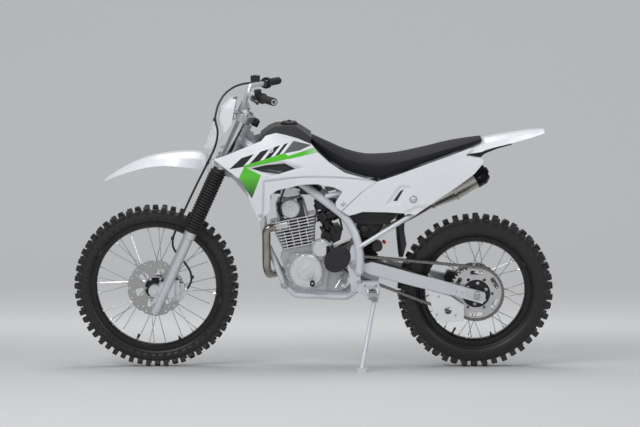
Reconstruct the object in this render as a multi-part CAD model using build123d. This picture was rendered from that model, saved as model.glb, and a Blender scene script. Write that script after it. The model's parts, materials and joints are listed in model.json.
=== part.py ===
from build123d import *
from math import asin, atan2, cos, degrees, pi, radians, sin, tan
import os

os.makedirs("parts", exist_ok=True)

# A single-cylinder off-road motorcycle, parked on its side stand. It is drawn upright, with x to the
# rear, y to the rider's right and z up from the ground, and leaned over at the end. Millimetres.

# Stance
wheelbase = 1360.0
lean_angle = 10.0
running_gap = 0.05       # shafts turning in bores, on the radius
seat_gap = 0.3           # pieces that rest on or fit into each other
rear_axle_drop = 19.0    # the rear axle lies this much lower than the front one

# Front wheel
front_tip_r = 350.0
front_carcass_r = 326.0
front_rim_r = 278.0
front_rim_inner_r = 254.0
front_rim_half = 24.0
front_tyre_half = 40.0
front_pitches = 26
front_hub_r = 30.0
front_flange_r = 41.0
front_flange_y = 30.0
front_hub_end = 70.0
front_axle_r = 8.0
front_axle_bore_r = 5.0
front_disc_r = 120.0
front_disc_y = -47.0

# Rear wheel
rear_tip_r = front_tip_r - rear_axle_drop
rear_carcass_r = 306.0
rear_rim_r = 236.0
rear_rim_inner_r = 212.0
rear_rim_half = 29.0
rear_tyre_half = 50.0
rear_pitches = 21
rear_hub_r = 48.0
rear_flange_r = 62.0
rear_flange_y = 30.0
rear_hub_end = 79.0
rear_axle_r = 9.0
rear_axle_bore_r = 5.5
rear_axle_half = 126.0
rear_disc_r = 110.0
rear_disc_y = 52.0

# Lugs, spokes and discs
lug_half = 14.0
centre_lug_length = 19.0
shoulder_lug_length = 17.0
shoulder_tilt = 24.0
spoke_r = 1.9
spoke_count = 32
spoke_sweep = 42.0
disc_wall = 4.0
disc_hole_r = 3.5
disc_holes = 16
petal_count = 12
petal_notch_r = 18.0
petal_depth = 4.5

# Fork, with heights measured up the steering axis from the foot of the axle's offset
rake = 24.5
clamp_offset = 24.6
axle_lead = 38.2
leg_spacing = 95.0
lower_leg_d = 44.0
leg_collar_d = 52.0
fork_tube_d = 36.0
leg_bottom = -98.0
leg_top = 293.0
axle_boss_r = 25.0
gaiter_top = 588.0
gaiter_peak_r = 34.0
gaiter_valley_r = 27.0
gaiter_ribs = 16
lower_clamp_height = 612.0
upper_clamp_height = 822.0
clamp_wall = 30.0
clamp_boss_r = 27.0
headstock_d = 52.0
headstock_length = 164.0
stem_d = 26.0
caliper_lug_y = -82.0
banjo = (132.0, -5.0)    # from the front axle
hose_d = 9.0

# Bars
bar_d = 22.0
bar_bore_r = 8.0
bar_bore_depth = 60.0
bar_clamp_y = 45.0
bar_clamp_height = 853.0
bar_clamp_ahead = 39.0
cylinder_foot_from_perch = (-44.3, -53.0, 7.9)
cylinder_tank_from_perch = (-36.3, -23.0, 22.9)
bar_flat_half = 75.0
bar_rise_from_clamp = (22.6, 150.0, 73.7)
bar_end_from_clamp = (139.6, 410.0, 69.7)
crossbar_share = 0.62
crossbar_r = 7.0
grip_length = 120.0
grip_d = 31.0
grip_flange_d = 44.0
perch_length = 32.0
plate_wall = 4.0
fender_wall = 3.5

# Drive
chain_pitch = 15.875
rear_teeth = 45
front_teeth = 13
chain_y = -68.0
chain_half = 11.0
plate_half = 6.5
link_wall = 4.0
roller_r = 5.0
tooth_height = 4.0
sprocket_wall = 6.0
drive_x = 105.0
drive_z = 468.0

# Frame
spar_d = 35.0
spar_foot_y = 102.0
down_tube_d = 30.0
cradle_d = 25.0
rail_d = 22.0
strut_d = 20.0
pivot_x = 157.5
pivot_z = 462.0
pivot_r = 9.0
plate_inner = 84.0
plate_outer = 98.0
bracket_outer = 132.0
rail_tie = (270.0, 799.0)
panel_boss = (469.0, 744.0)

# Engine
cylinder_tilt = 11.6
cylinder_foot = (-72.0, 528.0)
fin_pitch = 13.0
fin_wall = 4.5
fin_round = 20.0
cylinder_fins = 6
cylinder_fin_lengths = (142.0, 172.0)
head_fins = 4
head_fin_lengths = (182.0, 198.0)
fin_width = 120.0
barrel_r = 48.0
head_top = 216.0
port_height = 103.0
inlet_reach = 100.0
exhaust_reach = 76.0
port_r = 22.0
port_side = -38.0
case_half = 72.0
stator = (-41.0, 432.0)
cam = (-107.0, 694.0)
starter = (22.0, 527.0)
cam_face_y = -48.0

# Exhaust and intake
header_d = 36.0
silencer_d = 96.0
silencer_length = 282.0
airbox_front = 122.0
airbox_half = 58.0

# Bodywork
panel_wall = 4.0

# Footpegs
peg_length = 78.0
peg_x = 238.0
peg_low = 350.0
peg_teeth = 6

# Side stand
stand_pivot = (247.0, -150.0, 321.0)
stand_foot_x = 190.0
stand_foot_y = -312.0
stand_leg_d = 18.0
stand_pin_r = 6.0
stand_eye_r = 14.0
stand_eye_half = 7.0
stand_folded = Vector(0.99, -0.05, 0.09).normalized()
stand_outwards = Vector(0.11, -0.94, 0.33)

# Worked out from the sizes above
front_axle = Vector(-wheelbase / 2, 0, front_tip_r)
rear_axle = Vector(wheelbase / 2, 0, rear_tip_r)
fork_up = Vector(sin(radians(rake)), 0, cos(radians(rake)))
fork_ahead = Vector(-cos(radians(rake)), 0, sin(radians(rake)))
steer_foot = front_axle - fork_ahead * (clamp_offset + axle_lead)
bar_centre = steer_foot + fork_up * bar_clamp_height + fork_ahead * bar_clamp_ahead
bar_rise = Vector(bar_centre.X, 0, bar_centre.Z) + Vector(*bar_rise_from_clamp)
bar_end = Vector(bar_centre.X, 0, bar_centre.Z) + Vector(*bar_end_from_clamp)
lower_clamp = steer_foot + fork_up * lower_clamp_height
upper_clamp = steer_foot + fork_up * upper_clamp_height
lift = lug_half * sin(radians(lean_angle))
rear_pitch_r = chain_pitch / (2 * sin(pi / rear_teeth))
front_pitch_r = chain_pitch / (2 * sin(pi / front_teeth))
sprocket_line = rear_axle - Vector(drive_x, 0, drive_z)
chain_heading = atan2(sprocket_line.Z, sprocket_line.X)
chain_spread = asin((rear_pitch_r - front_pitch_r) / sprocket_line.length)
chain_upper = chain_heading + pi / 2 + chain_spread
chain_lower = chain_heading + 1.5 * pi - chain_spread
gap_turn = 2 * pi / front_teeth

# Carriers that the discs and the sprocket seat on: seat radius, seat face, pilot radius, pilot end
front_disc_seat = (46.0, -front_disc_y - disc_wall / 2 - seat_gap, 35.0, -front_disc_y + disc_wall / 2)
sprocket_seat = (56.0, -chain_y - sprocket_wall / 2 - seat_gap, 30.0, -chain_y + sprocket_wall / 2)
rear_disc_seat = (56.0, rear_disc_y - disc_wall / 2 - seat_gap, 30.0, rear_disc_y + disc_wall / 2)

# The stand's foot is on the ground after the lean, and its pivot is square to both of its ends' ways
stand_foot_z = (-stand_foot_y * sin(radians(lean_angle)) - lift) / cos(radians(lean_angle))
stand_down = (Vector(stand_foot_x, stand_foot_y, stand_foot_z) - Vector(*stand_pivot)).normalized()
stand_swing = (stand_folded - stand_down).normalized()
stand_axis = (stand_outwards - stand_swing * stand_outwards.dot(stand_swing)).normalized()


# ---------------------------------------------------------------- shared forms
def fork_plane(height, ahead=0.0, y=0.0):
    """A plane square to the steering axis, its x running ahead."""
    origin = steer_foot + fork_up * height + fork_ahead * ahead + Vector(0, y, 0)
    return Plane(origin=origin, x_dir=fork_ahead, z_dir=fork_up)


def plate(sketch, y_low, y_high):
    """A sketch drawn as x and z made solid from y_low to y_high."""
    return Pos(0, y_high, 0) * extrude(Plane.XZ * sketch, amount=y_high - y_low, dir=(0, -1, 0))


def outline(points):
    return make_face(Polyline(*points, close=True))


def rounded(points, radius):
    """An outline with every corner rounded."""
    return fillet(outline(points).vertices(), radius)


def slab(points, y_low, y_high):
    return plate(outline(points), y_low, y_high)


def rod(start, end, diameter):
    line = Vector(*end) - Vector(*start)
    return extrude(Plane(origin=start, z_dir=line) * Circle(diameter / 2), amount=line.length)


def cross_rod(x, z, y_low, y_high, radius):
    return rod((x, y_low, z), (x, y_high, z), 2 * radius)


def bend_radii(route):
    """The largest even bends that leave a short straight run between them."""
    radii = []
    for before, here, after in zip(route, route[1:], route[2:]):
        run_in = Vector(*here) - Vector(*before)
        run_out = Vector(*after) - Vector(*here)
        turn = radians(run_in.get_angle(run_out))
        radii.append(0.45 * min(run_in.length, run_out.length) / tan(turn / 2))
    return radii


def pipe(route, diameter, radius=None):
    """A round bar along a route with rounded corners, as large as they fit where no radius is given."""
    path = FilletPolyline(*route, radius=radius or bend_radii(route))
    section = Plane(origin=path @ 0, z_dir=path % 0) * Circle(diameter / 2)
    return sweep(section, path=path)


def lathe(profile, plane):
    """A turned form from (radius, height) points, standing on a plane."""
    half = make_face(Polyline(*[(radius, 0, height) for radius, height in profile], close=True))
    return plane.location * revolve(half, axis=Axis.Z)


def across(x, z, y, side):
    """A plane for turned covers that face outwards to one side."""
    return Plane(origin=(x, y, z), x_dir=(1, 0, 0), z_dir=(0, side, 0))


def mirrored(shape):
    return mirror(shape, about=Plane.XZ)


def both(shape):
    return [shape, mirrored(shape)]


def turned(profile):
    """A ring from (radius, y) points turned about the wheel's own axle."""
    return revolve(make_face(Polyline(*profile, close=True)), axis=Axis.Y)


def on_axle(shape, axle):
    return Pos(axle.X, axle.Y, axle.Z) * shape


# ---------------------------------------------------------------- wheels
def wheel_polygon(radius, sides, y):
    """A many-sided outline square to the axle, with the middle of a side at the bottom."""
    plane = Plane(origin=(0, y, 0), x_dir=(0, 0, -1), z_dir=(0, 1, 0))
    return plane * Rot(0, 0, 180 / sides) * RegularPolygon(radius, sides)


def carcass(carcass_r, rim_r, half, sides):
    """The tyre's body, flat under each lug, with a bore that clears the round rim."""
    shoulder_r = carcass_r - 0.18 * half
    bulge_r = rim_r + 0.45 * (carcass_r - rim_r)
    profile = [
        (rim_r + 4, -0.72 * half),
        (bulge_r, -half),
        (shoulder_r, -0.82 * half),
        (carcass_r, -0.4 * half),
        (carcass_r, 0.4 * half),
        (shoulder_r, 0.82 * half),
        (bulge_r, half),
        (rim_r + 4, 0.72 * half),
    ]
    body = loft([wheel_polygon(radius, sides, y) for radius, y in profile], ruled=True)
    bore_r = (rim_r + seat_gap) / cos(pi / sides)
    return body - extrude(wheel_polygon(bore_r, sides, -half - 1), amount=2 * half + 2, dir=(0, 1, 0))


def centre_lug(tip_r, carcass_r):
    height = tip_r - carcass_r + 4
    return Pos(0, 0, -tip_r + height / 2) * Box(centre_lug_length, 2 * lug_half, height)


def shoulder_lug(tip_r, carcass_r, half):
    height = tip_r - carcass_r + 2
    block = Box(shoulder_lug_length, 0.42 * half, height)
    return Pos(0, -0.72 * half, -carcass_r - 3) * Rot(-shoulder_tilt, 0, 0) * block


def tyre(tip_r, carcass_r, rim_r, half, pitches):
    """Centre and shoulder lugs take turns round a carcass with one flat for each."""
    pitch = 360 / pitches
    lugs = []
    for turn in range(pitches):
        lugs.append(Rot(0, turn * pitch, 0) * centre_lug(tip_r, carcass_r))
        left = Rot(0, (turn + 0.5) * pitch, 0) * shoulder_lug(tip_r, carcass_r, half)
        lugs.extend(both(left))
    return carcass(carcass_r, rim_r, half, 2 * pitches).fuse(*lugs)


def rim(outer_r, inner_r, half):
    lip = 6.0
    return turned(
        [
            (inner_r, -0.35 * half),
            (inner_r + 7, -0.8 * half),
            (outer_r - lip, -0.86 * half),
            (outer_r - lip, -half),
            (outer_r, -half),
            (outer_r, half),
            (outer_r - lip, half),
            (outer_r - lip, 0.86 * half),
            (inner_r + 7, 0.8 * half),
            (inner_r, 0.35 * half),
        ]
    )


def spoke(angle, sweep_angle, flange_r, flange_y, end_r):
    start_angle = radians(angle)
    end_angle = radians(angle + sweep_angle)
    start = (flange_r * cos(start_angle), flange_y, flange_r * sin(start_angle))
    end = (end_r * cos(end_angle), 0.18 * flange_y, end_r * sin(end_angle))
    line = Vector(*end) - Vector(*start)
    section = Plane(origin=start, z_dir=line) * RegularPolygon(spoke_r, 6)
    return extrude(section, amount=line.length)


def hub_end(bore_r, flange_r, flange_y, hub_r, end_y, carrier):
    """Half of a hub's profile, from its bore out over a carrier for a disc or sprocket to its barrel."""
    sleeve_r = bore_r + 9
    points = [(bore_r, end_y), (sleeve_r, end_y)]
    if carrier:
        seat_r, seat_y, pilot_r, pilot_y = carrier
        points += [(sleeve_r, pilot_y), (pilot_r, pilot_y), (pilot_r, seat_y), (seat_r, seat_y)]
        points += [(seat_r, flange_y + 4)]
    else:
        points += [(sleeve_r, flange_y + 4)]
    return points + [(flange_r, flange_y + 4), (flange_r, flange_y - 2), (hub_r, flange_y - 8)]


def hub(hub_r, flange_r, flange_y, bore_r, rim_inner_r, end_y, left_carrier, right_carrier):
    """A flanged hub laced with crossed spokes that end just inside the rim."""
    left = hub_end(bore_r, flange_r, flange_y, hub_r, end_y, left_carrier)
    right = hub_end(bore_r, flange_r, flange_y, hub_r, end_y, right_carrier)
    profile = [(radius, -y) for radius, y in left] + list(reversed(right))
    spokes = []
    for number in range(spoke_count):
        side = 1 if number % 2 else -1
        sweep_way = 1 if number % 4 < 2 else -1
        angle = number * 360 / spoke_count
        spokes.append(spoke(angle, sweep_way * spoke_sweep, flange_r - 4, side * flange_y, rim_inner_r + 6))
    laced = turned(profile).fuse(*spokes)
    limit = Rot(90, 0, 0) * Cylinder(rim_inner_r - seat_gap, 400)
    return laced & limit


def disc(outer_r, carrier, y):
    """A waved brake disc, with windows between its carrier and its drilled band."""
    seat_r, _, pilot_r, _ = carrier
    window_out = outer_r - 34
    window_reach = window_out - seat_r - 6
    sketch = Circle(outer_r) - Circle(pilot_r + seat_gap)
    sketch -= PolarLocations(outer_r + petal_notch_r - petal_depth, petal_count) * Circle(petal_notch_r)
    window = RectangleRounded(window_reach, 34, 6)
    sketch -= PolarLocations(window_out - window_reach / 2, petal_count // 2, start_angle=15) * window
    for inset, turn in ((11, 0), (23, 180 / disc_holes)):
        sketch -= PolarLocations(outer_r - inset, disc_holes, start_angle=turn) * Circle(disc_hole_r)
    return plate(sketch, y - disc_wall / 2, y + disc_wall / 2)


def toothed(pitch_r, teeth):
    """A sprocket's outline, whose flat-bottomed gaps each leave room for a roller."""
    step = 360 / teeth
    root_r = pitch_r - roller_r - seat_gap
    tip_r = pitch_r + tooth_height
    points = []
    for number in range(teeth):
        for turn, radius in ((-0.22, root_r), (0.22, root_r), (0.42, tip_r), (0.58, tip_r)):
            angle = radians((number + turn) * step)
            points.append((radius * cos(angle), radius * sin(angle)))
    return outline(points)


def rear_sprocket():
    sketch = toothed(rear_pitch_r, rear_teeth) - Circle(sprocket_seat[2] + seat_gap)
    sketch -= PolarLocations(90, 6, start_angle=30) * RectangleRounded(18, 54, 8)
    sketch -= PolarLocations(68, 6) * Circle(7)
    return plate(sketch, chain_y - sprocket_wall / 2, chain_y + sprocket_wall / 2)


# ---------------------------------------------------------------- fork and bars
def leg(plane, length, diameter):
    return extrude(plane * Circle(diameter / 2), amount=length)


def fork_lower(side):
    """A slider with its collar, and the boss that grips the axle ahead of it."""
    y = side * leg_spacing
    length = leg_top - leg_bottom
    leg_r = lower_leg_d / 2
    collar_r = leg_collar_d / 2
    profile = [(0, 0), (14, 0), (20, 6), (leg_r, 24), (leg_r, length - 36), (collar_r, length - 28),
               (collar_r, length), (0, length)]
    body = lathe(profile, fork_plane(leg_bottom, clamp_offset, y))
    body += cross_rod(front_axle.X, front_axle.Z, y - 19, y + 19, axle_boss_r)
    body += leg(fork_plane(-48, clamp_offset + 18, y), 92, 34)
    if side < 0:
        lug = slab([(28, -28), (82, -28), (86, 46), (58, 54)], y - 6, caliper_lug_y)
        body += on_axle(lug, front_axle)
    return body - cross_rod(front_axle.X, front_axle.Z, y - 60, y + 60, front_axle_r + seat_gap)


def fork_tube(side):
    start = leg_top + seat_gap
    plane = fork_plane(start, clamp_offset, side * leg_spacing)
    return leg(plane, upper_clamp_height + 24 - start, fork_tube_d)


def gaiter(side):
    """A ribbed rubber bellows between the slider's collar and the lower clamp."""
    start = leg_top + seat_gap
    length = gaiter_top - start
    pitch = length / gaiter_ribs
    bore_r = fork_tube_d / 2 + seat_gap
    profile = [(bore_r, 0)]
    for rib in range(gaiter_ribs):
        profile += [(gaiter_valley_r, rib * pitch), (gaiter_peak_r, (rib + 0.5) * pitch)]
    profile += [(gaiter_valley_r, length), (bore_r, length)]
    return lathe(profile, fork_plane(start, clamp_offset, side * leg_spacing))


def clamp(height):
    """A fork clamp hulled round both tubes and the stem."""
    bosses = [Pos(clamp_offset, side * leg_spacing) * Circle(clamp_boss_r) for side in (-1, 1)]
    bosses.append(Circle(headstock_d / 2))
    hull = make_hull([edge for boss in bosses for edge in boss.edges()])
    body = extrude(fork_plane(height - clamp_wall / 2) * hull, amount=clamp_wall)
    for side in (-1, 1):
        bore = fork_plane(height - clamp_wall, clamp_offset, side * leg_spacing)
        body -= leg(bore, 2 * clamp_wall, fork_tube_d + 2 * seat_gap)
        slit = fork_plane(height - clamp_wall, clamp_offset + clamp_boss_r, side * leg_spacing)
        body -= extrude(slit * Rectangle(2 * clamp_boss_r - fork_tube_d, 3), amount=2 * clamp_wall)
    return body


def steering_clamps():
    """The lower clamp with the steering stem, and the upper one with the handlebar's mounts."""
    stem_low = lower_clamp_height + clamp_wall / 2 - 1
    stem_high = upper_clamp_height - clamp_wall / 2 + 1
    lower = clamp(lower_clamp_height) + leg(fork_plane(stem_low), stem_high - stem_low, stem_d)
    upper = clamp(upper_clamp_height)
    mount_low = upper_clamp_height + clamp_wall / 2 - 2
    for side in (-1, 1):
        base = fork_plane(mount_low, bar_clamp_ahead, side * bar_clamp_y)
        upper += extrude(base * RectangleRounded(34, 24, 5), amount=bar_clamp_height + 17 - mount_low)
    upper -= cross_rod(bar_centre.X, bar_centre.Z, -80, 80, bar_d / 2 + seat_gap)
    return [lower, upper]


def bar_station(side, back):
    """A point on the bar, that far in from its end, and the way inwards."""
    outer = Vector(bar_end.X, side * bar_end.Y, bar_end.Z)
    inner = Vector(bar_rise.X, side * bar_rise.Y, bar_rise.Z)
    way = (inner - outer).normalized()
    return outer + way * back, way


def handlebar():
    half = [(bar_centre.X, bar_flat_half, bar_centre.Z), tuple(bar_rise), tuple(bar_end)]
    left = [(x, -y, z) for x, y, z in half]
    bar = pipe([*reversed(left), *half], bar_d, 30)
    low = Vector(*half[0])
    joint = low + (bar_rise - low) * crossbar_share
    bar += cross_rod(joint.X, joint.Z, -joint.Y, joint.Y, crossbar_r)
    for side in (-1, 1):
        end, way = bar_station(side, 0)
        bar -= rod(end - way * 5, end + way * bar_bore_depth, 2 * bar_bore_r)
    return bar


def sleeve(side, back, length, outer_d):
    """A ring that sits round the bar."""
    place, way = bar_station(side, back)
    ring = Circle(outer_d / 2) - Circle(bar_d / 2 + seat_gap)
    return extrude(Plane(origin=place, z_dir=way) * ring, amount=length)


def grip(side):
    return sleeve(side, 1, grip_length, grip_d) + sleeve(side, grip_length - 4, 5, grip_flange_d)


def hand_lever(side):
    """A perch round the bar with its lever, and on the right the brake's master cylinder."""
    perch_back = grip_length + 12
    perch = sleeve(side, perch_back, perch_length, 32)
    place, way = bar_station(side, perch_back + perch_length / 2)
    pivot = place + Vector(-34, 0, 0)
    tip = bar_station(side, 12)[0] + Vector(-62, 0, -6)
    knuckle = pivot + (tip - pivot) * 0.3 + Vector(-9, 0, 0)
    arm = rod(place + Vector(-14, 0, 0), pivot, 20)
    blade = pipe([tuple(pivot), tuple(knuckle), tuple(tip)], 10) + Pos(*tip) * Sphere(7)
    if side > 0:
        arm += rod(pivot, place + Vector(*cylinder_foot_from_perch), 22)
        tank = Pos(*(place + Vector(*cylinder_tank_from_perch)))
        arm += tank * extrude(RectangleRounded(40, 52, 8), amount=11, both=True)
    start = bar_station(side, 0)[0]
    return perch + arm + blade - rod(start, place + way * 110, bar_d + 2 * seat_gap)


plate_rows = [  # height, front and rear from the upper clamp, and half the width
    (-122, -190, -158, 58),
    (-81, -171, -126, 80),
    (-50, -160, -94, 92),
    (-15, -148, -68, 97),
    (51, -116, -56, 96),
    (78, -84, -50, 84),
    (85, -70, -48, 76),
]


def plate_row(height, front, rear, half):
    """A C-shaped slice through the number plate, open to the rear."""
    nose = front + 14
    outer = [(rear, half), (nose, 0.82 * half), (front, 0.45 * half)]
    inner = [(x + (0 if x == rear else plate_wall), y - plate_wall) for x, y in outer]
    near_half = outer + [(x, -y) for x, y in reversed(outer)]
    far_half = [(x, -y) for x, y in inner] + list(reversed(inner))
    points = [(upper_clamp.X + x, y, upper_clamp.Z + height) for x, y in near_half + far_half]
    return make_face(Polyline(*points, close=True))


def number_plate():
    """A blank shield ahead of the bars, on two pegs from the upper clamp."""
    shield = loft([plate_row(*row) for row in plate_rows], ruled=True)
    for side in (-1, 1):
        root = fork_plane(upper_clamp_height, clamp_offset + clamp_boss_r + seat_gap, side * 36).origin
        shield += rod(root, root + fork_ahead * 70, 12)
    return shield


def clamp_underside(x):
    """The height of the lower clamp's flat underside, which the fender is bolted up to."""
    foot = steer_foot + fork_up * (lower_clamp_height - clamp_wall / 2 - seat_gap)
    return foot.Z - (x - foot.X) * tan(radians(rake))


def fender_row(x, half, top, drop):
    """A slice through a fender: a flat crown, a crease, and sides that droop."""
    wall = fender_wall
    outer = [(half, top - drop), (0.8 * half, top - 0.36 * drop), (0.36 * half, top)]
    inner = [(half - wall, top - drop), (0.8 * half - wall, top - 0.36 * drop - wall),
             (0.36 * half - wall / 2, top - wall)]
    over = [(x, -y, z) for y, z in outer] + [(x, y, z) for y, z in reversed(outer)]
    under = [(x, y, z) for y, z in inner] + [(x, -y, z) for y, z in reversed(inner)]
    return make_face(Polyline(*over, *under, close=True))


front_fender_rows = [  # station and crown from the lower clamp, half the width and droop of the sides
    (-523, 16, -70, 8),
    (-481, 44, -40, 16),
    (-425, 62, -8, 26),
    (-326, 74, 30, 38),
    (-238, 78, 45, 48),
    (-145, 74, 49, 62),
    (-101, 60, 40, 60),
    (-69, 52, None, 50),
]
front_tail_rows = [
    (-69, 52, None, 50),
    (17, 42, None, 34),
    (39, 36, -49, 36),
    (84, 22, -119, 26),
]


def front_fender_row(station, half, crown, drop):
    """A row placed from the lower clamp, against the clamp's underside where it gives no crown."""
    x = lower_clamp.X + station
    top = clamp_underside(x) if crown is None else lower_clamp.Z + crown
    return fender_row(x, half, top, drop)


def front_fender():
    """The long nose, and the narrow tail that runs down behind the legs."""
    nose = loft([front_fender_row(*row) for row in front_fender_rows])
    tail = loft([front_fender_row(*row) for row in front_tail_rows], ruled=True)
    return nose + tail


def disc_slot(disc_r, y):
    """The room that a caliper leaves for its disc."""
    return turned([(60, y - 4), (disc_r + 4, y - 4), (disc_r + 4, y + 4), (60, y + 4)])


def front_caliper():
    """A two-piston caliper on a lug of the left leg."""
    body = plate(rounded([(72, -50), (115, -53), (128, -20), (120, 22), (88, 26), (70, -5)], 7),
                 front_disc_y - 20, front_disc_y + 14)
    body += slab([(72, -20), (102, -20), (104, 40), (84, 40)], caliper_lug_y + seat_gap, front_disc_y - 20)
    for x, z in ((96, -32), (102, 0)):
        body += cross_rod(x, z, front_disc_y - 28, front_disc_y - 18, 14)
    body += cross_rod(*banjo, front_disc_y - 24, front_disc_y - 8, 7)
    return on_axle(body - disc_slot(front_disc_r, front_disc_y), front_axle)


hose_upper_route = [  # from the upper clamp: the master cylinder, then round the number plate
    (11.8, 221.5, 124),
    (-24, 152, 129),
    (-65, 90, 122),
    (-102, 20, 100),
    (-126, -52, 63),
    (-137, -112, 8),
    (-122, -122, -42),
    (-133, -118, -103),
    (-168, -116, -175),
]
hose_lower_route = [  # from the front axle: down ahead of the left leg and in to the caliper
    (175, -112, 440),
    (120, -108, 322),
    (78, -92, 225),
    (76, -66, 175),
    (118, -60, 124),
    (150, -60, 75),
    (155, -61, 34),
    (136.4, -62, 1.4),
]
hose_route = [tuple(upper_clamp + Vector(*point)) for point in hose_upper_route]
hose_route += [tuple(front_axle + Vector(*point)) for point in hose_lower_route]


def front_axle_shaft():
    half = leg_spacing + 24
    return on_axle(turned([(front_axle_bore_r, -half), (front_axle_r, -half), (front_axle_r, half),
                           (front_axle_bore_r, half)]), front_axle)


# ---------------------------------------------------------------- frame
def main_spar(side, extra=0.0):
    head = lower_clamp
    route = [(head.X + 51, 14, head.Z + 104), (head.X + 119, 50, head.Z + 59), (-59, 76, 805), (128, 86, 663),
             (172, 99, 582), (186, spar_foot_y, 500), (182, spar_foot_y, 432)]
    foot = Pos(182, side * spar_foot_y, 432) * Sphere((spar_d + extra) / 2)
    return pipe([(x, side * y, z) for x, y, z in route], spar_d + extra) + foot


def down_tube(extra=0.0):
    head = lower_clamp + Vector(47, 0, 44)
    return pipe([tuple(head), (-226, 0, 656), (-207, 0, 500)], down_tube_d + extra, 60)


def pivot_plate():
    """The forged plate that carries the swingarm's pivot."""
    edge = [(150, 540), (186, 560), (192, 500), (190, 430), (186, 345), (150, 345), (140, 430), (134, 462),
            (140, 500)]
    body = slab(edge, -plate_outer, -plate_inner)
    body += cross_rod(pivot_x, pivot_z, -plate_outer, -plate_inner, 22)
    return body - cross_rod(pivot_x, pivot_z, -120, 120, pivot_r + seat_gap)


def peg_bracket():
    edge = [(180, 372), (200, 392), (262, 392), (274, 366), (262, 306), (236, 306), (218, 330), (180, 345)]
    return slab(edge, -bracket_outer, -plate_outer + 4)


def main_frame():
    """Headstock, twin spars, down tube, cradle, pivot plates and the brackets on them."""
    frame = leg(fork_plane(lower_clamp_height + clamp_wall / 2 + 4), headstock_length, headstock_d)
    frame += down_tube()
    cradle = pipe([(-200, 0, 520), (-134, 50, 367), (-87, 58, 322), (132, 62, 313), (172, 91, 350)],
                  cradle_d, 30)
    for side in (-1, 1):
        frame += main_spar(side)
    for half in (cradle, pivot_plate(), peg_bracket()):
        for shape in both(half):
            frame += shape
    gusset = slab([(47, 104), (67, 153), (107, 129), (117, 81), (79, 44)], -7, 7)
    frame += Pos(*lower_clamp) * gusset
    frame += cross_rod(168, 596, -90, 90, 14)
    frame += cross_rod(172, 350, -91, 91, 11)
    pivot = Vector(*stand_pivot)
    frame += rod(pivot - stand_axis * 26, pivot + stand_axis * (stand_eye_half + 2), 2 * stand_pin_r)
    frame -= cross_rod(pivot_x, pivot_z, -120, 120, pivot_r + seat_gap)
    bore = fork_plane(lower_clamp_height)
    return frame - leg(bore, upper_clamp_height - lower_clamp_height, stem_d + 2 * running_gap)


half_width_levels = (600, 700, 790, 880, 960, 1075)
half_width_rows = [  # station, and half the bodywork's width at each level
    (-450, (150, 172, 196, 204, 176, 120)),
    (-300, (150, 172, 196, 204, 170, 96)),
    (-190, (140, 160, 180, 186, 150, 66)),
    (-60, (128, 142, 154, 156, 128, 58)),
    (120, (118, 124, 130, 128, 108, 64)),
    (330, (112, 118, 122, 122, 112, 84)),
    (540, (96, 106, 114, 118, 112, 92)),
    (730, (70, 82, 92, 98, 96, 84)),
]


def subframe():
    """Seat rails and struts, with a tie under the seat and bosses for the side panels."""
    rail = pipe([(40, 92, 752), (255, 84, 795), (640, 62, 900)], rail_d, 120)
    strut = pipe([(176, 109.2, 534), (425, 86, 686), (575, 68, 884)], strut_d, 60)
    frame = rail.fuse(mirrored(rail), *both(strut))
    frame += cross_rod(628, 897, -63, 63, 9)
    frame += cross_rod(*rail_tie, -84, 84, 9)
    boss = cross_rod(*panel_boss, -230, -84, 6) & bodywork(panel_wall + seat_gap)
    for shape in both(boss):
        frame += shape
    for side in (-1, 1):
        frame -= main_spar(side, 2 * seat_gap)
        frame -= Pos(166, side * (plate_inner + plate_outer) / 2, 560) * Box(62, 14.6, 300)
    return frame


# ---------------------------------------------------------------- engine
def cylinder_plane(height):
    """A plane square to the cylinder, whose axis leans ahead."""
    tilt = radians(cylinder_tilt)
    up = Vector(-sin(tilt), 0, cos(tilt))
    origin = Vector(cylinder_foot[0], 0, cylinder_foot[1]) + up * height
    return Plane(origin=origin, x_dir=Vector(cos(tilt), 0, sin(tilt)), z_dir=up)


def crankcase():
    """Split case: a narrow middle, wider bearings each side, and a face for the cylinder."""
    seat = cylinder_plane(0)
    deck = [(end.X, end.Z) for end in (seat.origin + seat.x_dir * 62, seat.origin - seat.x_dir * 62)]
    edge = [(-128, 420), (-108, 372), (-80, 340), (110, 340), (136, 372), (136, 440), (132, 490), (70, 524),
            *deck, (-150, 480)]
    wide = [(-124, 420), (-104, 376), (-76, 345), (44, 345), (52, 430), (40, 505), (-104, 505)]
    case = slab(edge, -48, 60) + plate(rounded(wide, 16), -case_half, case_half + 6)
    case += cross_rod(*starter, -case_half, -fin_width / 2 - 1, 41)
    return case


def finned(low, count, lengths, height):
    """A round barrel in evenly spaced fins that grow from the first length to the last."""
    body = extrude(cylinder_plane(low) * Circle(barrel_r), amount=height)
    for number in range(count):
        length = lengths[0] + (lengths[1] - lengths[0]) * number / (count - 1)
        fin = RectangleRounded(length, fin_width, fin_round)
        body += extrude(cylinder_plane(low + number * fin_pitch + 3) * fin, amount=fin_wall)
    return body


def cylinder():
    return finned(seat_gap, cylinder_fins, cylinder_fin_lengths, cylinder_fins * fin_pitch)


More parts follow.
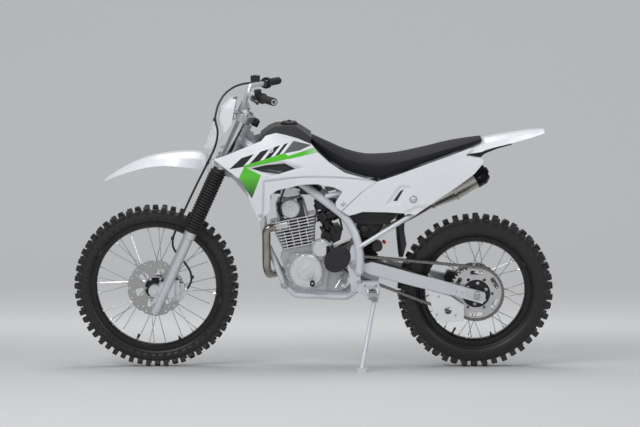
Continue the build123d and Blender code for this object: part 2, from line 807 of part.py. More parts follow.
def cylinder_head():
    """Fins, a rocker box that narrows upwards, and the ports ahead and behind."""
    low = cylinder_fins * fin_pitch + 2 * seat_gap
    height = head_fins * fin_pitch
    head = finned(low, head_fins, head_fin_lengths, height)
    box = loft([cylinder_plane(low + height - 4) * RectangleRounded(134, 92, 20),
                cylinder_plane(head_top - 22) * RectangleRounded(122, 88, 20),
                cylinder_plane(head_top) * RectangleRounded(92, 66, 16)], ruled=True)
    port = cylinder_plane(port_height)
    inlet = port.origin + port.x_dir * inlet_reach
    outlet = port.origin - port.x_dir * exhaust_reach + Vector(0, port_side, 0)
    recess = rod(outlet, outlet - port.x_dir * 60, 2 * port_r + 8)
    head = head - recess + rod(port.origin, inlet, 2 * port_r)
    return head + rod(outlet + port.x_dir * 50, outlet, 2 * port_r) + box


def engine_covers():
    """Covers bolted to the left and right of the engine, each turned except the sprocket's guard."""
    left_face = -case_half - seat_gap
    generator = lathe([(0, 0), (73, 0), (73, 22), (66, 30), (36, 30), (33, 34), (0, 34)],
                      across(*stator, left_face, -1))
    starter_cover = lathe([(0, 0), (38, 0), (38, 12), (32, 18), (0, 18)], across(*starter, left_face, -1))
    cam_cover = lathe([(0, 0), (41, 0), (41, 10), (35, 16), (0, 16)], across(*cam, cam_face_y, -1))
    clutch = lathe([(0, 0), (76, 0), (76, 20), (68, 28), (0, 28)],
                   across(-10, 425, case_half + 6 + seat_gap, 1))
    guard_edge = [(46, 444), (58, 520), (110, 530), (132, 505), (132, 455), (100, 436)]
    guard = plate(rounded(guard_edge, 9), -96, -84)
    guard += cross_rod(58, 462, -86, -48 - seat_gap, 5) + cross_rod(67, 510, -86, -48 - seat_gap, 5)
    return [generator, starter_cover, cam_cover, clutch, guard]


def carburettor():
    """The inlet tract: flange, body with its float bowl, and the boot to the airbox."""
    port = cylinder_plane(port_height)
    start = port.origin + port.x_dir * (inlet_reach + seat_gap)
    middle = start + port.x_dir * 22
    end = middle + port.x_dir * 40
    body = rod(start, middle, 44) + rod(middle, end, 58)
    body += rod(end - port.x_dir * 4, (airbox_front + 12, 0, 694), 64)
    body -= Pos(airbox_front + 50 - seat_gap, 0, 690) * Box(100, 120, 200)
    bowl = [(0, 0), (15, 0), (22, 5), (23, 24), (26, 26), (26, 32), (20, 34), (20, 56), (0, 56)]
    slide = [(0, 0), (23, 0), (23, 30), (18, 38), (6, 40), (6, 52), (0, 52)]
    body += lathe(bowl, Plane(origin=(middle.X + 22, 0, middle.Z - 62)))
    return body + lathe(slide, Plane(origin=(middle.X + 20, 0, middle.Z + 16)))


# ---------------------------------------------------------------- final drive
def drive_sprocket():
    """The small sprocket, with its first gap where the chain's upper run comes off it."""
    half = chain_half - link_wall - seat_gap
    wheel = plate(toothed(front_pitch_r, front_teeth), chain_y - half, chain_y + half)
    shaft = cross_rod(drive_x, drive_z, chain_y, -48 - seat_gap, 10)
    return Pos(drive_x, 0, drive_z) * Rot(0, -degrees(chain_upper), 0) * wheel + shaft


def pin_circle(centre, radius, first, last, step):
    """Pin places round a sprocket, from one angle to another."""
    count = round(abs(last - first) / step)
    places = []
    for number in range(count + 1):
        angle = first + (last - first) * number / count
        places.append(Vector(centre[0] + radius * cos(angle), 0, centre[1] + radius * sin(angle)))
    return places


def chain_pins(offset=0.0):
    """The chain's corner points round both sprockets, moved out from its pitch line."""
    small = pin_circle((drive_x, drive_z), front_pitch_r + offset, chain_upper, chain_lower, gap_turn)
    big = pin_circle((rear_axle.X, rear_axle.Z), rear_pitch_r + offset, chain_lower - 2 * pi, chain_upper,
                     2 * pi / rear_teeth)
    return small, big


def link_plates(y_low, y_high):
    """One side's plates joined into a band, straight from pin to pin."""
    bands = []
    for offset in (plate_half, -plate_half):
        small, big = chain_pins(offset)
        bands.append(slab([(pin.X, pin.Z) for pin in small + big], y_low, y_high))
    return bands[0] - bands[1]


def chain_roller(place):
    length = chain_half - link_wall / 2
    end = Plane(origin=(place.X, chain_y - length, place.Z), z_dir=(0, 1, 0))
    return extrude(end * RegularPolygon(roller_r, 6), amount=2 * length)


def chain():
    """A fixed loop: plates each side, rollers in the small sprocket's gaps and along both runs."""
    small, big = chain_pins()
    loop = link_plates(chain_y - chain_half, chain_y - chain_half + link_wall)
    loop += link_plates(chain_y + chain_half - link_wall, chain_y + chain_half)
    places = pin_circle((drive_x, drive_z), front_pitch_r, chain_upper + gap_turn,
                        chain_upper + 5 * gap_turn, gap_turn)
    for start, finish in ((small[0], big[-1]), (small[-1], big[0])):
        count = int((finish - start).length / chain_pitch)
        places += [start + (finish - start) * (number / count) for number in range(1, count - 2, 3)]
    return loop.fuse(*[chain_roller(place) for place in places])


arm_rows = [  # a point on the left arm's centre line, and the section's width and height there
    ((pivot_x, -68, pivot_z), 24, 26),
    ((230, -70, 443), 24, 60),
    ((420, -86, 393), 24, 56),
    ((rear_axle.X - 120, -97, rear_axle.Z + 28), 22, 52),
    ((rear_axle.X + 34, -97, rear_axle.Z - 9), 20, 40),
]


def arm_section(centre, width, height):
    plane = Plane(origin=centre, x_dir=(0, 1, 0), z_dir=(1, 0, 0))
    return plane * RectangleRounded(width, height, 5)


def swingarm():
    """Two tapered box arms, joined behind the pivot, with plates for the axle."""
    body = cross_rod(pivot_x, pivot_z, -plate_inner + seat_gap, plate_inner - seat_gap, 14)
    body += cross_rod(pivot_x, pivot_z, -plate_outer - 8, plate_outer + 8, pivot_r)
    body += cross_rod(292, 428, -72, 72, 22)
    arm = loft([arm_section(*row) for row in arm_rows], ruled=True)
    end_plate = on_axle(slab([(-110, 49), (27, 13), (37, 3), (25, -36), (-89, -3)], -110, -86), rear_axle)
    for half in (arm, end_plate):
        for shape in both(half):
            body += shape
    return body - cross_rod(rear_axle.X, rear_axle.Z, -130, 130, rear_axle_r + seat_gap)


def rear_axle_shaft():
    return on_axle(turned([(rear_axle_bore_r, -rear_axle_half), (rear_axle_r, -rear_axle_half),
                           (rear_axle_r, rear_axle_half), (rear_axle_bore_r, rear_axle_half)]), rear_axle)


def chain_guide():
    edge = [(-204, 20.9), (-180, -98), (-146, -123), (-53, -113), (-53, -46), (-120.3, 1.7)]
    return on_axle(slab(edge, -96, -88) - cross_rod(-120, -69, -100, -80, 16), rear_axle)


def rear_caliper():
    """A single-piston caliper on a lug that seats against the right arm."""
    body = plate(rounded([(-120, 9), (-80, 21), (-68, 41), (-80, 69), (-114, 77), (-132, 49)], 6), 40, 74)
    body += slab([(-114, 21), (-76, 25), (-76, 64), (-114, 64)], 73, 86 - seat_gap)
    return on_axle(body - disc_slot(rear_disc_r, rear_disc_y), rear_axle)


def shock_absorber():
    """A damper in its spring between its eyes, with a remote reservoir."""
    low = Vector(255.6, 0, 424)
    high = Vector(194.5, 0, 599)
    line = high - low
    coils = []
    for number in range(8):
        coils += [(24, 36 + number * 14), (32, 43 + number * 14)]
    profile = [(0, 0), (9, 0), (9, 28), (26, 30), (26, 34), *coils, (24, 148), (27, 150), (27, 170),
               (14, 174), (14, line.length), (0, line.length)]
    body = lathe(profile, Plane(origin=low, z_dir=line))
    body += cross_rod(low.X, low.Z, -18, 18, 14) + cross_rod(high.X, high.Z, -16, 16, 12)
    body += rod(low + line * 0.9, (252, -50, 545), 16) + cross_rod(260, 536, -84, -36, 22)
    return body


# ---------------------------------------------------------------- bodywork
def bodywork(inset):
    """The form that the shrouds, tank and side panels share, taken in by an inset."""
    rows = []
    for x, halves in half_width_rows:
        right = [(x, half - inset, z) for half, z in zip(halves, half_width_levels)]
        left = [(x, -y, z) for _, y, z in reversed(right)]
        edges = [Spline(*right), Line(right[-1], left[0]), Spline(*left), Line(left[-1], right[0])]
        rows.append(make_face(edges))
    return loft(rows)


def panel_pair(edge, windows=()):
    """The left and right panels cut from the bodywork's skin by a side-view outline."""
    sheet = slab(edge, -260, 0)
    for window in windows:
        sheet -= slab(window, -270, 10)
    return both((sheet & bodywork(0)) - bodywork(panel_wall))


shroud_edge = [
    (-419, 923), (-376, 937), (-285, 971), (-226, 991), (-208, 1011), (-165, 1021), (-122, 1012),
    (-73, 998), (-17, 975), (10, 943), (59, 899), (122, 857), (255, 820), (190, 775), (107, 695),
    (86, 713), (83, 733), (112, 779), (73, 798), (8, 812), (-56, 812), (-160, 791), (-187, 771),
    (-193, 700), (-235, 655), (-262, 720), (-292, 813), (-309, 839),
]
shroud_vent = [(-245, 884), (-207, 894), (-128, 898), (-92, 879), (-154, 864)]
side_panel_edge = [
    (256, 819), (345, 848), (467, 894), (565, 928), (650, 958), (638, 942), (626, 925), (691, 913),
    (701, 904), (697, 891), (662, 850), (589, 794), (506, 738), (467, 711), (418, 677), (388, 682),
    (296, 689), (196, 691), (161, 680), (138, 675), (110, 694), (192, 774),
]


seat_rows = [  # station, half the width, underside and top
    (-20, 52, 975, 1004),
    (60, 78, 903, 966),
    (124, 90, 862, 938),
    (203, 98, 838, 918),
    (268, 106, 826, 917),
    (345, 110, 853, 923),
    (467, 108, 899, 948),
    (565, 98, 933, 972),
    (695, 62, 978, 995),
]


def seat_row(x, half, low, high):
    drop = 0.4 * (high - low)
    crown = Spline((x, -half, high - drop), (x, -0.7 * half, high - 0.12 * drop), (x, 0, high),
                   (x, 0.7 * half, high - 0.12 * drop), (x, half, high - drop))
    base = Polyline((x, half, high - drop), (x, 0.94 * half, low), (x, -0.94 * half, low),
                    (x, -half, high - drop))
    return make_face([crown, *base.edges()])


def seat():
    return loft([seat_row(*row) for row in seat_rows], ruled=True)


def fuel_tank():
    """The tank between the shrouds, hollowed for the headstock, spars and down tube, and its cap."""
    edge = [(-262, 880), (-235, 1000), (-197, 1032), (-168, 1045), (-87, 1047), (-63, 1033), (-20.4, 1003),
            (-20.4, 974.6), (60, 902.3), (60, 850), (-100, 862), (-190, 880)]
    body = slab(edge, -230, 230) & bodywork(panel_wall + seat_gap)
    body -= leg(fork_plane(lower_clamp_height - 40), 400, headstock_d + 24)
    for side in (-1, 1):
        body -= main_spar(side, 2 * seat_gap)
    body -= down_tube(4)
    cap = [(0, 0), (38, 0), (38, 8), (33, 12), (33, 22), (28, 26), (0, 26)]
    return body + lathe(cap, Plane(origin=(-112, 0, 1032)))


rear_fender_rows = [
    (600, 78, 944.6, 22),
    (696, 84, 977.4, 38),
    (709, 84, 989, 40),
    (809, 86, 1007, 34),
    (906, 74, 1022, 24),
    (958, 48, 1025, 12),
]


def rear_fender():
    return loft([fender_row(*row) for row in rear_fender_rows], ruled=True)


def mud_flap():
    edge = [(352.4, 720), (358, 720), (359, 660), (350, 610), (369, 485), (352, 485), (339, 620),
            (352.4, 672)]
    return slab(edge, -54, 54)


def airbox():
    top = rail_tie[1] - 9 - seat_gap
    edge = [(airbox_front, 742), (200, top), (348, top), (352, 682), (306, 625), (170, 632),
            (airbox_front, 656)]
    return slab(edge, -airbox_half, airbox_half)


# ---------------------------------------------------------------- exhaust
header_route = [  # down ahead of the engine, under it to the right, and up behind the leg
    (-208, -50, 412),
    (-180, 60, 388),
    (-128, 134, 398),
    (60, 136, 470),
    (240, 143, 546),
    (430, 158, 636),
    (494, 166, 674),
]


def exhaust_header():
    port = cylinder_plane(port_height)
    start = port.origin - port.x_dir * (exhaust_reach + seat_gap) + Vector(0, port_side, 0)
    route = [start, start - port.x_dir * 43, *header_route]
    flange = rod(start, start - port.x_dir * 8, 2 * port_r + 4)
    return pipe([tuple(point) for point in route], header_d) + flange


def silencer():
    """A tapered can with a band at its neck and a narrowing end cap."""
    end = Vector(*header_route[-1])
    way = (end - Vector(*header_route[-2])).normalized()
    can_r = silencer_d / 2
    neck = 112
    cap = silencer_length - 62
    profile = [(0, 0), (header_d / 2 + 3, 0), (header_d / 2 + 5, 14), (can_r - 5, neck), (can_r, neck),
               (can_r, neck + 9), (can_r - 3, neck + 9), (can_r - 2, cap), (can_r + 2, cap),
               (can_r + 2, silencer_length - 22), (can_r - 12, silencer_length), (0, silencer_length)]
    return lathe(profile, Plane(origin=end + way * seat_gap, z_dir=way))


# ---------------------------------------------------------------- controls
def peg_rail(x):
    """One edge of a footpeg, with teeth along its top."""
    inner = -bracket_outer - seat_gap
    pitch = (peg_length - 10) / peg_teeth
    points = [(inner - peg_length, peg_low), (inner, peg_low), (inner, peg_low + 12)]
    for tooth in range(peg_teeth):
        start = inner - 5 - tooth * pitch
        points += [(start, peg_low + 12), (start - 0.5 * pitch, peg_low + 18)]
    points += [(inner - 5 - peg_teeth * pitch, peg_low + 12), (inner - peg_length, peg_low + 12)]
    face = make_face(Polyline(*[(x - 3, y, z) for y, z in points], close=True))
    return extrude(face, amount=6, dir=(1, 0, 0))


def footpegs():
    peg = peg_rail(peg_x - 20) + peg_rail(peg_x + 20)
    for reach in (8, peg_length / 2, peg_length - 4):
        peg += Pos(peg_x, -bracket_outer - seat_gap - reach, peg_low + 6) * Box(42, 8, 12)
    return both(peg)


def foot_controls():
    """The shift lever on the left and the brake pedal on the right, each with its toe piece."""
    lever = cross_rod(115, 376, -120, -48 - seat_gap, 7)
    lever += pipe([(115, -114, 376), (60, -118, 392), (-14, -122, 390)], 11, 30)
    lever += rod((-14, -118, 390), (-14, -168, 390), 14)
    pedal = cross_rod(166, 372, plate_outer + seat_gap, 124, 9)
    pedal += pipe([(166, 118, 372), (80, 120, 352), (-20, 126, 366)], 11, 60)
    pedal += rod((-20, 122, 366), (-20, 164, 366), 16)
    return [lever, pedal]


def side_stand():
    """A leg with an eye round the frame's pin and a flat foot."""
    foot = (stand_foot_x, stand_foot_y, stand_foot_z + 12)
    pivot = Vector(*stand_pivot)
    stand = rod(stand_pivot, foot, stand_leg_d)
    stand += rod(pivot - stand_axis * stand_eye_half, pivot + stand_axis * stand_eye_half, 2 * stand_eye_r)
    stand -= rod(pivot - stand_axis * 30, pivot + stand_axis * 30, 2 * (stand_pin_r + running_gap))
    pad_plane = Plane(origin=(stand_foot_x, stand_foot_y, stand_foot_z),
                      z_dir=Vector(0, sin(radians(lean_angle)), cos(radians(lean_angle))))
    return stand + extrude(pad_plane * RectangleRounded(60, 42, 10), amount=16)


# ---------------------------------------------------------------- the whole machine
nodes = {
    "front_tyre": [on_axle(tyre(front_tip_r, front_carcass_r, front_rim_r, front_tyre_half, front_pitches),
                           front_axle)],
    "front_rim": [on_axle(rim(front_rim_r, front_rim_inner_r, front_rim_half), front_axle)],
    "front_hub": [on_axle(hub(front_hub_r, front_flange_r, front_flange_y, front_axle_r + running_gap,
                              front_rim_inner_r, front_hub_end, front_disc_seat, None), front_axle)],
    "front_disc": [on_axle(disc(front_disc_r, front_disc_seat, front_disc_y), front_axle)],
    "rear_tyre": [on_axle(tyre(rear_tip_r, rear_carcass_r, rear_rim_r, rear_tyre_half, rear_pitches),
                          rear_axle)],
    "rear_rim": [on_axle(rim(rear_rim_r, rear_rim_inner_r, rear_rim_half), rear_axle)],
    "rear_hub": [on_axle(hub(rear_hub_r, rear_flange_r, rear_flange_y, rear_axle_r + running_gap,
                             rear_rim_inner_r, rear_hub_end, sprocket_seat, rear_disc_seat), rear_axle)],
    "rear_sprocket": [on_axle(rear_sprocket(), rear_axle)],
    "rear_disc": [on_axle(disc(rear_disc_r, rear_disc_seat, rear_disc_y), rear_axle)],
    "fork_lowers": [fork_lower(-1), fork_lower(1)],
    "fork_tubes": [fork_tube(-1), fork_tube(1)],
    "gaiters": [gaiter(-1), gaiter(1)],
    "fork_clamps": steering_clamps(),
    "handlebar": [handlebar()],
    "grips": [grip(-1), grip(1)],
    "hand_levers": [hand_lever(-1), hand_lever(1)],
    "number_plate": [number_plate()],
    "front_fender": [front_fender()],
    "front_caliper": [front_caliper()],
    "brake_hose": [pipe(hose_route, hose_d)],
    "front_axle": [front_axle_shaft()],
    "main_frame": [main_frame()],
    "subframe": [subframe()],
    "crankcase": [crankcase()],
    "cylinder": [cylinder()],
    "cylinder_head": [cylinder_head()],
    "engine_covers": engine_covers(),
    "carburettor": [carburettor()],
    "drive_sprocket": [drive_sprocket()],
    "chain": [chain()],
    "chain_guide": [chain_guide()],
    "swingarm": [swingarm()],
    "rear_axle": [rear_axle_shaft()],
    "rear_caliper": [rear_caliper()],
    "shock_absorber": [shock_absorber()],
    "fuel_tank": [fuel_tank()],
    "shrouds": panel_pair(shroud_edge, [shroud_vent]),
    "side_panels": panel_pair(side_panel_edge),
    "seat": [seat()],
    "rear_fender": [rear_fender()],
    "mud_flap": [mud_flap()],
    "airbox": [airbox()],
    "exhaust_header": [exhaust_header()],
    "silencer": [silencer()],
    "footpegs": footpegs(),
    "foot_controls": foot_controls(),
    "side_stand": [side_stand()],
}

# Leaned on the stand, then set with the middle of its outer box over the origin
leaned = {name: [Rot(lean_angle, 0, 0) * piece for piece in pieces] for name, pieces in nodes.items()}
whole = Compound([piece for pieces in leaned.values() for piece in pieces]).bounding_box()
parked = Pos(-whole.center().X, -whole.center().Y, lift)

for name, pieces in leaned.items():
    placed = [parked * piece for piece in pieces]
    export_step(placed[0] if len(placed) == 1 else Compound(placed), f"parts/{name}.step")

hose = nodes["brake_hose"][0]
hose_path = FilletPolyline(*hose_route, radius=bend_radii(hose_route))
print("brake hose", round(hose_path.length), "mm, volume over section x length",
      round(hose.volume / (pi * (hose_d / 2) ** 2 * hose_path.length), 4),
      "bend radii", [round(radius) for radius in bend_radii(hose_route)])
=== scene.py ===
import json
import math
import bmesh
import bpy
from mathutils import Matrix, Vector
from mathutils.bvhtree import BVHTree


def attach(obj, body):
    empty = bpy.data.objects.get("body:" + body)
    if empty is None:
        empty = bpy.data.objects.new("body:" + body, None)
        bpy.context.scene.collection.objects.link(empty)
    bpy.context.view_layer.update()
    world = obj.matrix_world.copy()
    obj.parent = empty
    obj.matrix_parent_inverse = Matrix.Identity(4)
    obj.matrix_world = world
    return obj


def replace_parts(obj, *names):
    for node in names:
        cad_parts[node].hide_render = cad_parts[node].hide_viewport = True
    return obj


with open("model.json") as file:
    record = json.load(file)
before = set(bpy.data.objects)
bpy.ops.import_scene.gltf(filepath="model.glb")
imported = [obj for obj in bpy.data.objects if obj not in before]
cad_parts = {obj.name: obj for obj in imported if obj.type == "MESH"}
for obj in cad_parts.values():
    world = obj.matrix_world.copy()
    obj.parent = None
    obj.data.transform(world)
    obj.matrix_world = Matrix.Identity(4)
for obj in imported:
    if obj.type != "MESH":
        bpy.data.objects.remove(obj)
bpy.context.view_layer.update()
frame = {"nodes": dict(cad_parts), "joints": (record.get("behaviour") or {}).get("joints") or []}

# the upright bike's own space, in millimetres: x to the rear, y to the rider's right, z up from the ground
bike = {"wheelbase": 1360, "frontRadius": 350, "rearRadius": 331, "lean": math.radians(10),
        "rake": math.radians(24.5), "legAhead": 24.6, "axleAhead": 38.2, "legY": 95}
jointByName = {joint["name"]: joint for joint in frame["joints"]}
frontAxle = Vector((-bike["wheelbase"] / 2, 0, bike["frontRadius"]))
rearAxle = Vector((bike["wheelbase"] / 2, 0, bike["rearRadius"]))
leanTurn = Matrix.Rotation(bike["lean"], 4, "X")
parkShift = Vector(jointByName["front_wheel_spin"]["pos_m"]) - leanTurn @ (frontAxle / 1000)
park = Matrix.Translation(parkShift) @ leanTurn @ Matrix.Scale(0.001, 4)  # bike space to the parked frame
forkUp = Vector((math.sin(bike["rake"]), 0, math.cos(bike["rake"])))
forkAhead = Vector((-math.cos(bike["rake"]), 0, math.sin(bike["rake"])))
steerFoot = frontAxle - forkAhead * (bike["legAhead"] + bike["axleAhead"])
upright = Matrix.Rotation(math.radians(90), 4, "X")  # a part's own z to the bike's left
sides = (-1, 1)
leftward, rightward = (0, -1, 0), (0, 1, 0)


def forkPoint(height, ahead=0.0, y=0.0):
    return steerFoot + forkUp * height + forkAhead * ahead + Vector((0, y, 0))


def angles(count, phase=0.0):
    return [phase + 2 * math.pi * n / count for n in range(count)]


def onCircle(radius, angle):
    return radius * math.cos(angle), radius * math.sin(angle)


def sidePoint(radius, angle, y):
    # as onCircle, on the side view
    x, z = onCircle(radius, angle)
    return Vector((x, y, z))


# shapes, built in bike space as corners and faces
def gridFaces(rows, count):
    # the faces between closed rows of corners
    faces = []
    for row in range(rows - 1):
        for n in range(count):
            after = (n + 1) % count
            faces.append((row * count + n, row * count + after, (row + 1) * count + after,
                          (row + 1) * count + n))
    return faces


def lathe(profile, segments=40):
    # (radius, height) points turned about z
    verts = [(*onCircle(radius, angle), height) for radius, height in profile for angle in angles(segments)]
    return verts, gridFaces(len(profile), segments)


def ring(profile, segments=40):
    # as a lathe, with the profile joined back to its start
    verts, faces = lathe(profile, segments)
    last = (len(profile) - 1) * segments
    for step in range(segments):
        after = (step + 1) % segments
        faces.append((last + step, last + after, after, step))
    return verts, faces


def prism(outline, low, high, chamfer):
    # an outline in x and y made solid along z, with both ends drawn in by a chamfer
    count = len(outline)
    centre = Vector((sum(p[0] for p in outline) / count, sum(p[1] for p in outline) / count))
    inner = []
    for point in outline:
        reach = Vector(point) - centre
        inner.append(centre + reach * max(0.0, 1 - chamfer / max(reach.length, 1e-6)))
    rows = [(inner, low), (outline, low + chamfer), (outline, high - chamfer), (inner, high)]
    verts = [(p[0], p[1], z) for points, z in rows for p in points]
    ends = [list(range(count))[::-1], [(len(rows) - 1) * count + n for n in range(count)]]
    return verts, ends + gridFaces(len(rows), count)


def hexagon(radius, low, high, chamfer):
    return prism([onCircle(radius, angle) for angle in angles(6)], low, high, chamfer)


def sidePlate(outline, yLow, yHigh, chamfer):
    # an outline in x and z made solid from one y to another
    verts, faces = prism(outline, -yHigh, -yLow, chamfer)
    return [(x, -z, y) for x, y, z in verts], faces


def smoothPath(points, perSpan=8):
    # a Catmull-Rom curve through the points
    points = [Vector(p) for p in points]
    extended = [2 * points[0] - points[1], *points, 2 * points[-1] - points[-2]]
    path = []
    for n in range(1, len(extended) - 2):
        a, b, c, d = extended[n - 1:n + 3]
        for step in range(perSpan):
            t = step / perSpan
            path.append(0.5 * (2 * b + (c - a) * t + (2 * a - 5 * b + 4 * c - d) * t * t
                               + (3 * b - a - 3 * c + d) * t ** 3))
    return path + [points[-1]]


def tube(path, radius, around=8):
    # a round bar along a path
    path = [Vector(p) for p in path]
    verts = []
    normal = (path[1] - path[0]).orthogonal().normalized()
    for n, point in enumerate(path):
        way = (path[min(n + 1, len(path) - 1)] - path[max(n - 1, 0)]).normalized()
        normal = (normal - way * normal.dot(way)).normalized()
        across = way.cross(normal)
        verts += [point + (normal * math.cos(angle) + across * math.sin(angle)) * radius
                  for angle in angles(around)]
    ends = [list(range(around))[::-1], [(len(path) - 1) * around + step for step in range(around)]]
    return verts, gridFaces(len(path), around) + ends


def headed(place, heading, spin=0.0):
    # turns a part's own z to a heading and moves it to a place
    turn = Vector(heading).to_track_quat("Z", "Y").to_matrix().to_4x4()
    return Matrix.Translation(Vector(place)) @ turn @ Matrix.Rotation(spin, 4, "Z")


class Shape:
    def __init__(self):
        self.verts, self.faces = [], []

    def add(self, part, matrix=Matrix()):
        verts, faces = part
        start = len(self.verts)
        self.verts += [matrix @ Vector(v) for v in verts]
        self.faces += [[start + corner for corner in face] for face in faces]
        return self

    def turned(self, profile, place, heading, segments=40):
        return self.add(lathe(profile, segments), headed(place, heading))

    def band(self, profile, place, heading, segments=40):
        return self.add(ring(profile, segments), headed(place, heading))

    def rod(self, path, radius, around=8):
        return self.add(tube(path, radius, around))

    def plate(self, outline, yLow, yHigh, chamfer):
        return self.add(sidePlate(outline, yLow, yHigh, chamfer))

    def plates(self, outline, y, half, chamfer, matrix=Matrix()):
        # one on each side of the bike
        for side in sides:
            self.add(sidePlate(outline, side * y - half, side * y + half, chamfer), matrix)
        return self


# fasteners, drawn one millimetre in radius and scaled where they stand
def hexBolt():
    # a flanged hexagon head with a shallow dish
    flange = lathe([(0, 0), (1.05, 0), (1.05, 0.12), (0.86, 0.22), (0, 0.22)], 24)
    dish = lathe([(0, 0.74), (0.4, 0.82), (0.46, 0.8)], 16)
    return Shape().add(flange).add(hexagon(0.82, 0.2, 0.8, 0.07)).add(dish)


def socketBolt():
    # a button head with a hexagonal socket
    return Shape().add(lathe([(0, 0), (1, 0), (1, 0.16), (0.93, 0.36), (0.7, 0.54), (0.47, 0.6), (0.44, 0.58),
                              (0.42, 0.22), (0, 0.22)], 24))


def makeMesh(name, shape, material=None, sharp=32, merge=0.004):
    # a clean mesh: corners merged, normals outwards, smooth except at edges sharper than the angle
    mesh = bpy.data.meshes.new(name)
    mesh.from_pydata([tuple(v) for v in shape.verts], [], shape.faces)
    tidy = bmesh.new()
    tidy.from_mesh(mesh)
    bmesh.ops.remove_doubles(tidy, verts=tidy.verts, dist=merge)
    bmesh.ops.dissolve_degenerate(tidy, edges=tidy.edges, dist=merge / 2)
    bmesh.ops.recalc_face_normals(tidy, faces=tidy.faces)
    tidy.to_mesh(mesh)
    tidy.free()
    mesh.shade_smooth()
    mesh.set_sharp_from_angle(angle=math.radians(sharp))
    if material:
        mesh.materials.append(material)
    return mesh


def linked(name, data):
    made = bpy.data.objects.new(name, data)
    bpy.context.scene.collection.objects.link(made)
    return made


def placePiece(name, mesh, body):
    # a finished piece: parked, on its body, its object left at the origin
    mesh.transform(park)
    piece = linked(name, mesh)
    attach(piece, body)
    return piece


def makePiece(name, shape, body, material, sharp=32):
    return placePiece(name, makeMesh(name, shape, material, sharp), body)


surfaceTrees = {}


def surfaceAt(nodeName, x, z, side):
    # where a line across the bike first meets a CAD node from one side, and the way it faces
    if nodeName not in surfaceTrees:
        mesh = frame["nodes"][nodeName].data
        unpark = park.inverted()
        surfaceTrees[nodeName] = BVHTree.FromPolygons([unpark @ v.co for v in mesh.vertices],
                                                      [list(p.vertices) for p in mesh.polygons])
    place, normal, _, _ = surfaceTrees[nodeName].ray_cast(Vector((x, side * 500, z)), Vector((0, -side, 0)))
    if place is None:
        print("no surface", nodeName, x, z, side)
        return Vector((x, side * 100, z)), Vector((0, side, 0))
    return place, -normal if normal.y * side < 0 else normal


# materials
def newGroup(name, inputs, outputs):
    tree = bpy.data.node_groups.new(name, "ShaderNodeTree")
    for label, kind, value in inputs:
        tree.interface.new_socket(label, in_out="INPUT", socket_type=kind).default_value = value
    for label, kind in outputs:
        tree.interface.new_socket(label, in_out="OUTPUT", socket_type=kind)
    return tree, tree.nodes.new("NodeGroupInput").outputs, tree.nodes.new("NodeGroupOutput").inputs


def setInputs(tree, node, values):
    for key, value in values.items():
        if isinstance(value, bpy.types.NodeSocket):
            tree.links.new(value, node.inputs[key])
        else:
            node.inputs[key].default_value = value
    return node


def addNode(tree, kind, values=None, **settings):
    # settings are the node's own properties; values are numbers or sockets for its inputs
    node = tree.nodes.new(kind)
    for key, value in settings.items():
        setattr(node, key, value)
    return setInputs(tree, node, values or {})


def addGroup(tree, group, **values):
    return setInputs(tree, addNode(tree, "ShaderNodeGroup", node_tree=group), values).outputs


def mathOf(tree, operation, *values, **settings):
    inputs = dict(enumerate(values))
    return addNode(tree, "ShaderNodeMath", inputs, operation=operation, **settings).outputs[0]


def vectorOf(tree, operation, *values):
    return addNode(tree, "ShaderNodeVectorMath", dict(enumerate(values)), operation=operation).outputs


def rangeOf(tree, value, *limits, **settings):
    # a value's place between two limits, given as 0 to 1 or between two more
    values = {0: value, **dict(enumerate(limits, 1))}
    return addNode(tree, "ShaderNodeMapRange", values, **settings).outputs[0]


def splitOf(tree, place):
    return addNode(tree, "ShaderNodeSeparateXYZ", {0: place}).outputs


def objectPlace(tree):
    return addNode(tree, "ShaderNodeTexCoord").outputs["Object"]


def blendColor(tree, mask, under, over):
    return addNode(tree, "ShaderNodeMix", {0: mask, 6: under, 7: over}, data_type="RGBA").outputs[2]


def makeBikeSpace():
    # where a point of the surface lies on the upright bike, in millimetres
    tree, _, groupOut = newGroup("bikeSpace", [], [("Place", "NodeSocketVector")])
    mapping = addNode(tree, "ShaderNodeMapping", {
        "Vector": objectPlace(tree), "Location": parkShift, "Rotation": (bike["lean"], 0, 0),
        "Scale": (0.001, 0.001, 0.001),
    }, vector_type="TEXTURE")
    tree.links.new(mapping.outputs[0], groupOut["Place"])
    return tree


def makeGrain():
    # cloudy change of colour and roughness, with a height for bump
    tree, given, groupOut = newGroup("surfaceGrain", [
        ("Color", "NodeSocketColor", (0.5, 0.5, 0.5, 1)), ("Shade", "NodeSocketFloat", 0.1),
        ("Roughness", "NodeSocketFloat", 0.4), ("Spread", "NodeSocketFloat", 0.1),
        ("Scale", "NodeSocketFloat", 60), ("Stretch", "NodeSocketVector", (1, 1, 1)),
    ], [("Color", "NodeSocketColor"), ("Roughness", "NodeSocketFloat"), ("Height", "NodeSocketFloat")])
    stretched = vectorOf(tree, "MULTIPLY", objectPlace(tree), given["Stretch"])[0]
    noise = addNode(tree, "ShaderNodeTexNoise", {"Vector": stretched, "Scale": given["Scale"], "Detail": 5,
                                                 "Roughness": 0.6}).outputs["Fac"]
    amount = mathOf(tree, "MULTIPLY", noise, given["Shade"])
    centred = mathOf(tree, "SUBTRACT", noise, 0.5)
    rough = mathOf(tree, "MULTIPLY_ADD", centred, given["Spread"], given["Roughness"])
    tree.links.new(blendColor(tree, amount, given["Color"], (0, 0, 0, 1)), groupOut["Color"])
    tree.links.new(rough, groupOut["Roughness"])
    tree.links.new(noise, groupOut["Height"])
    return tree


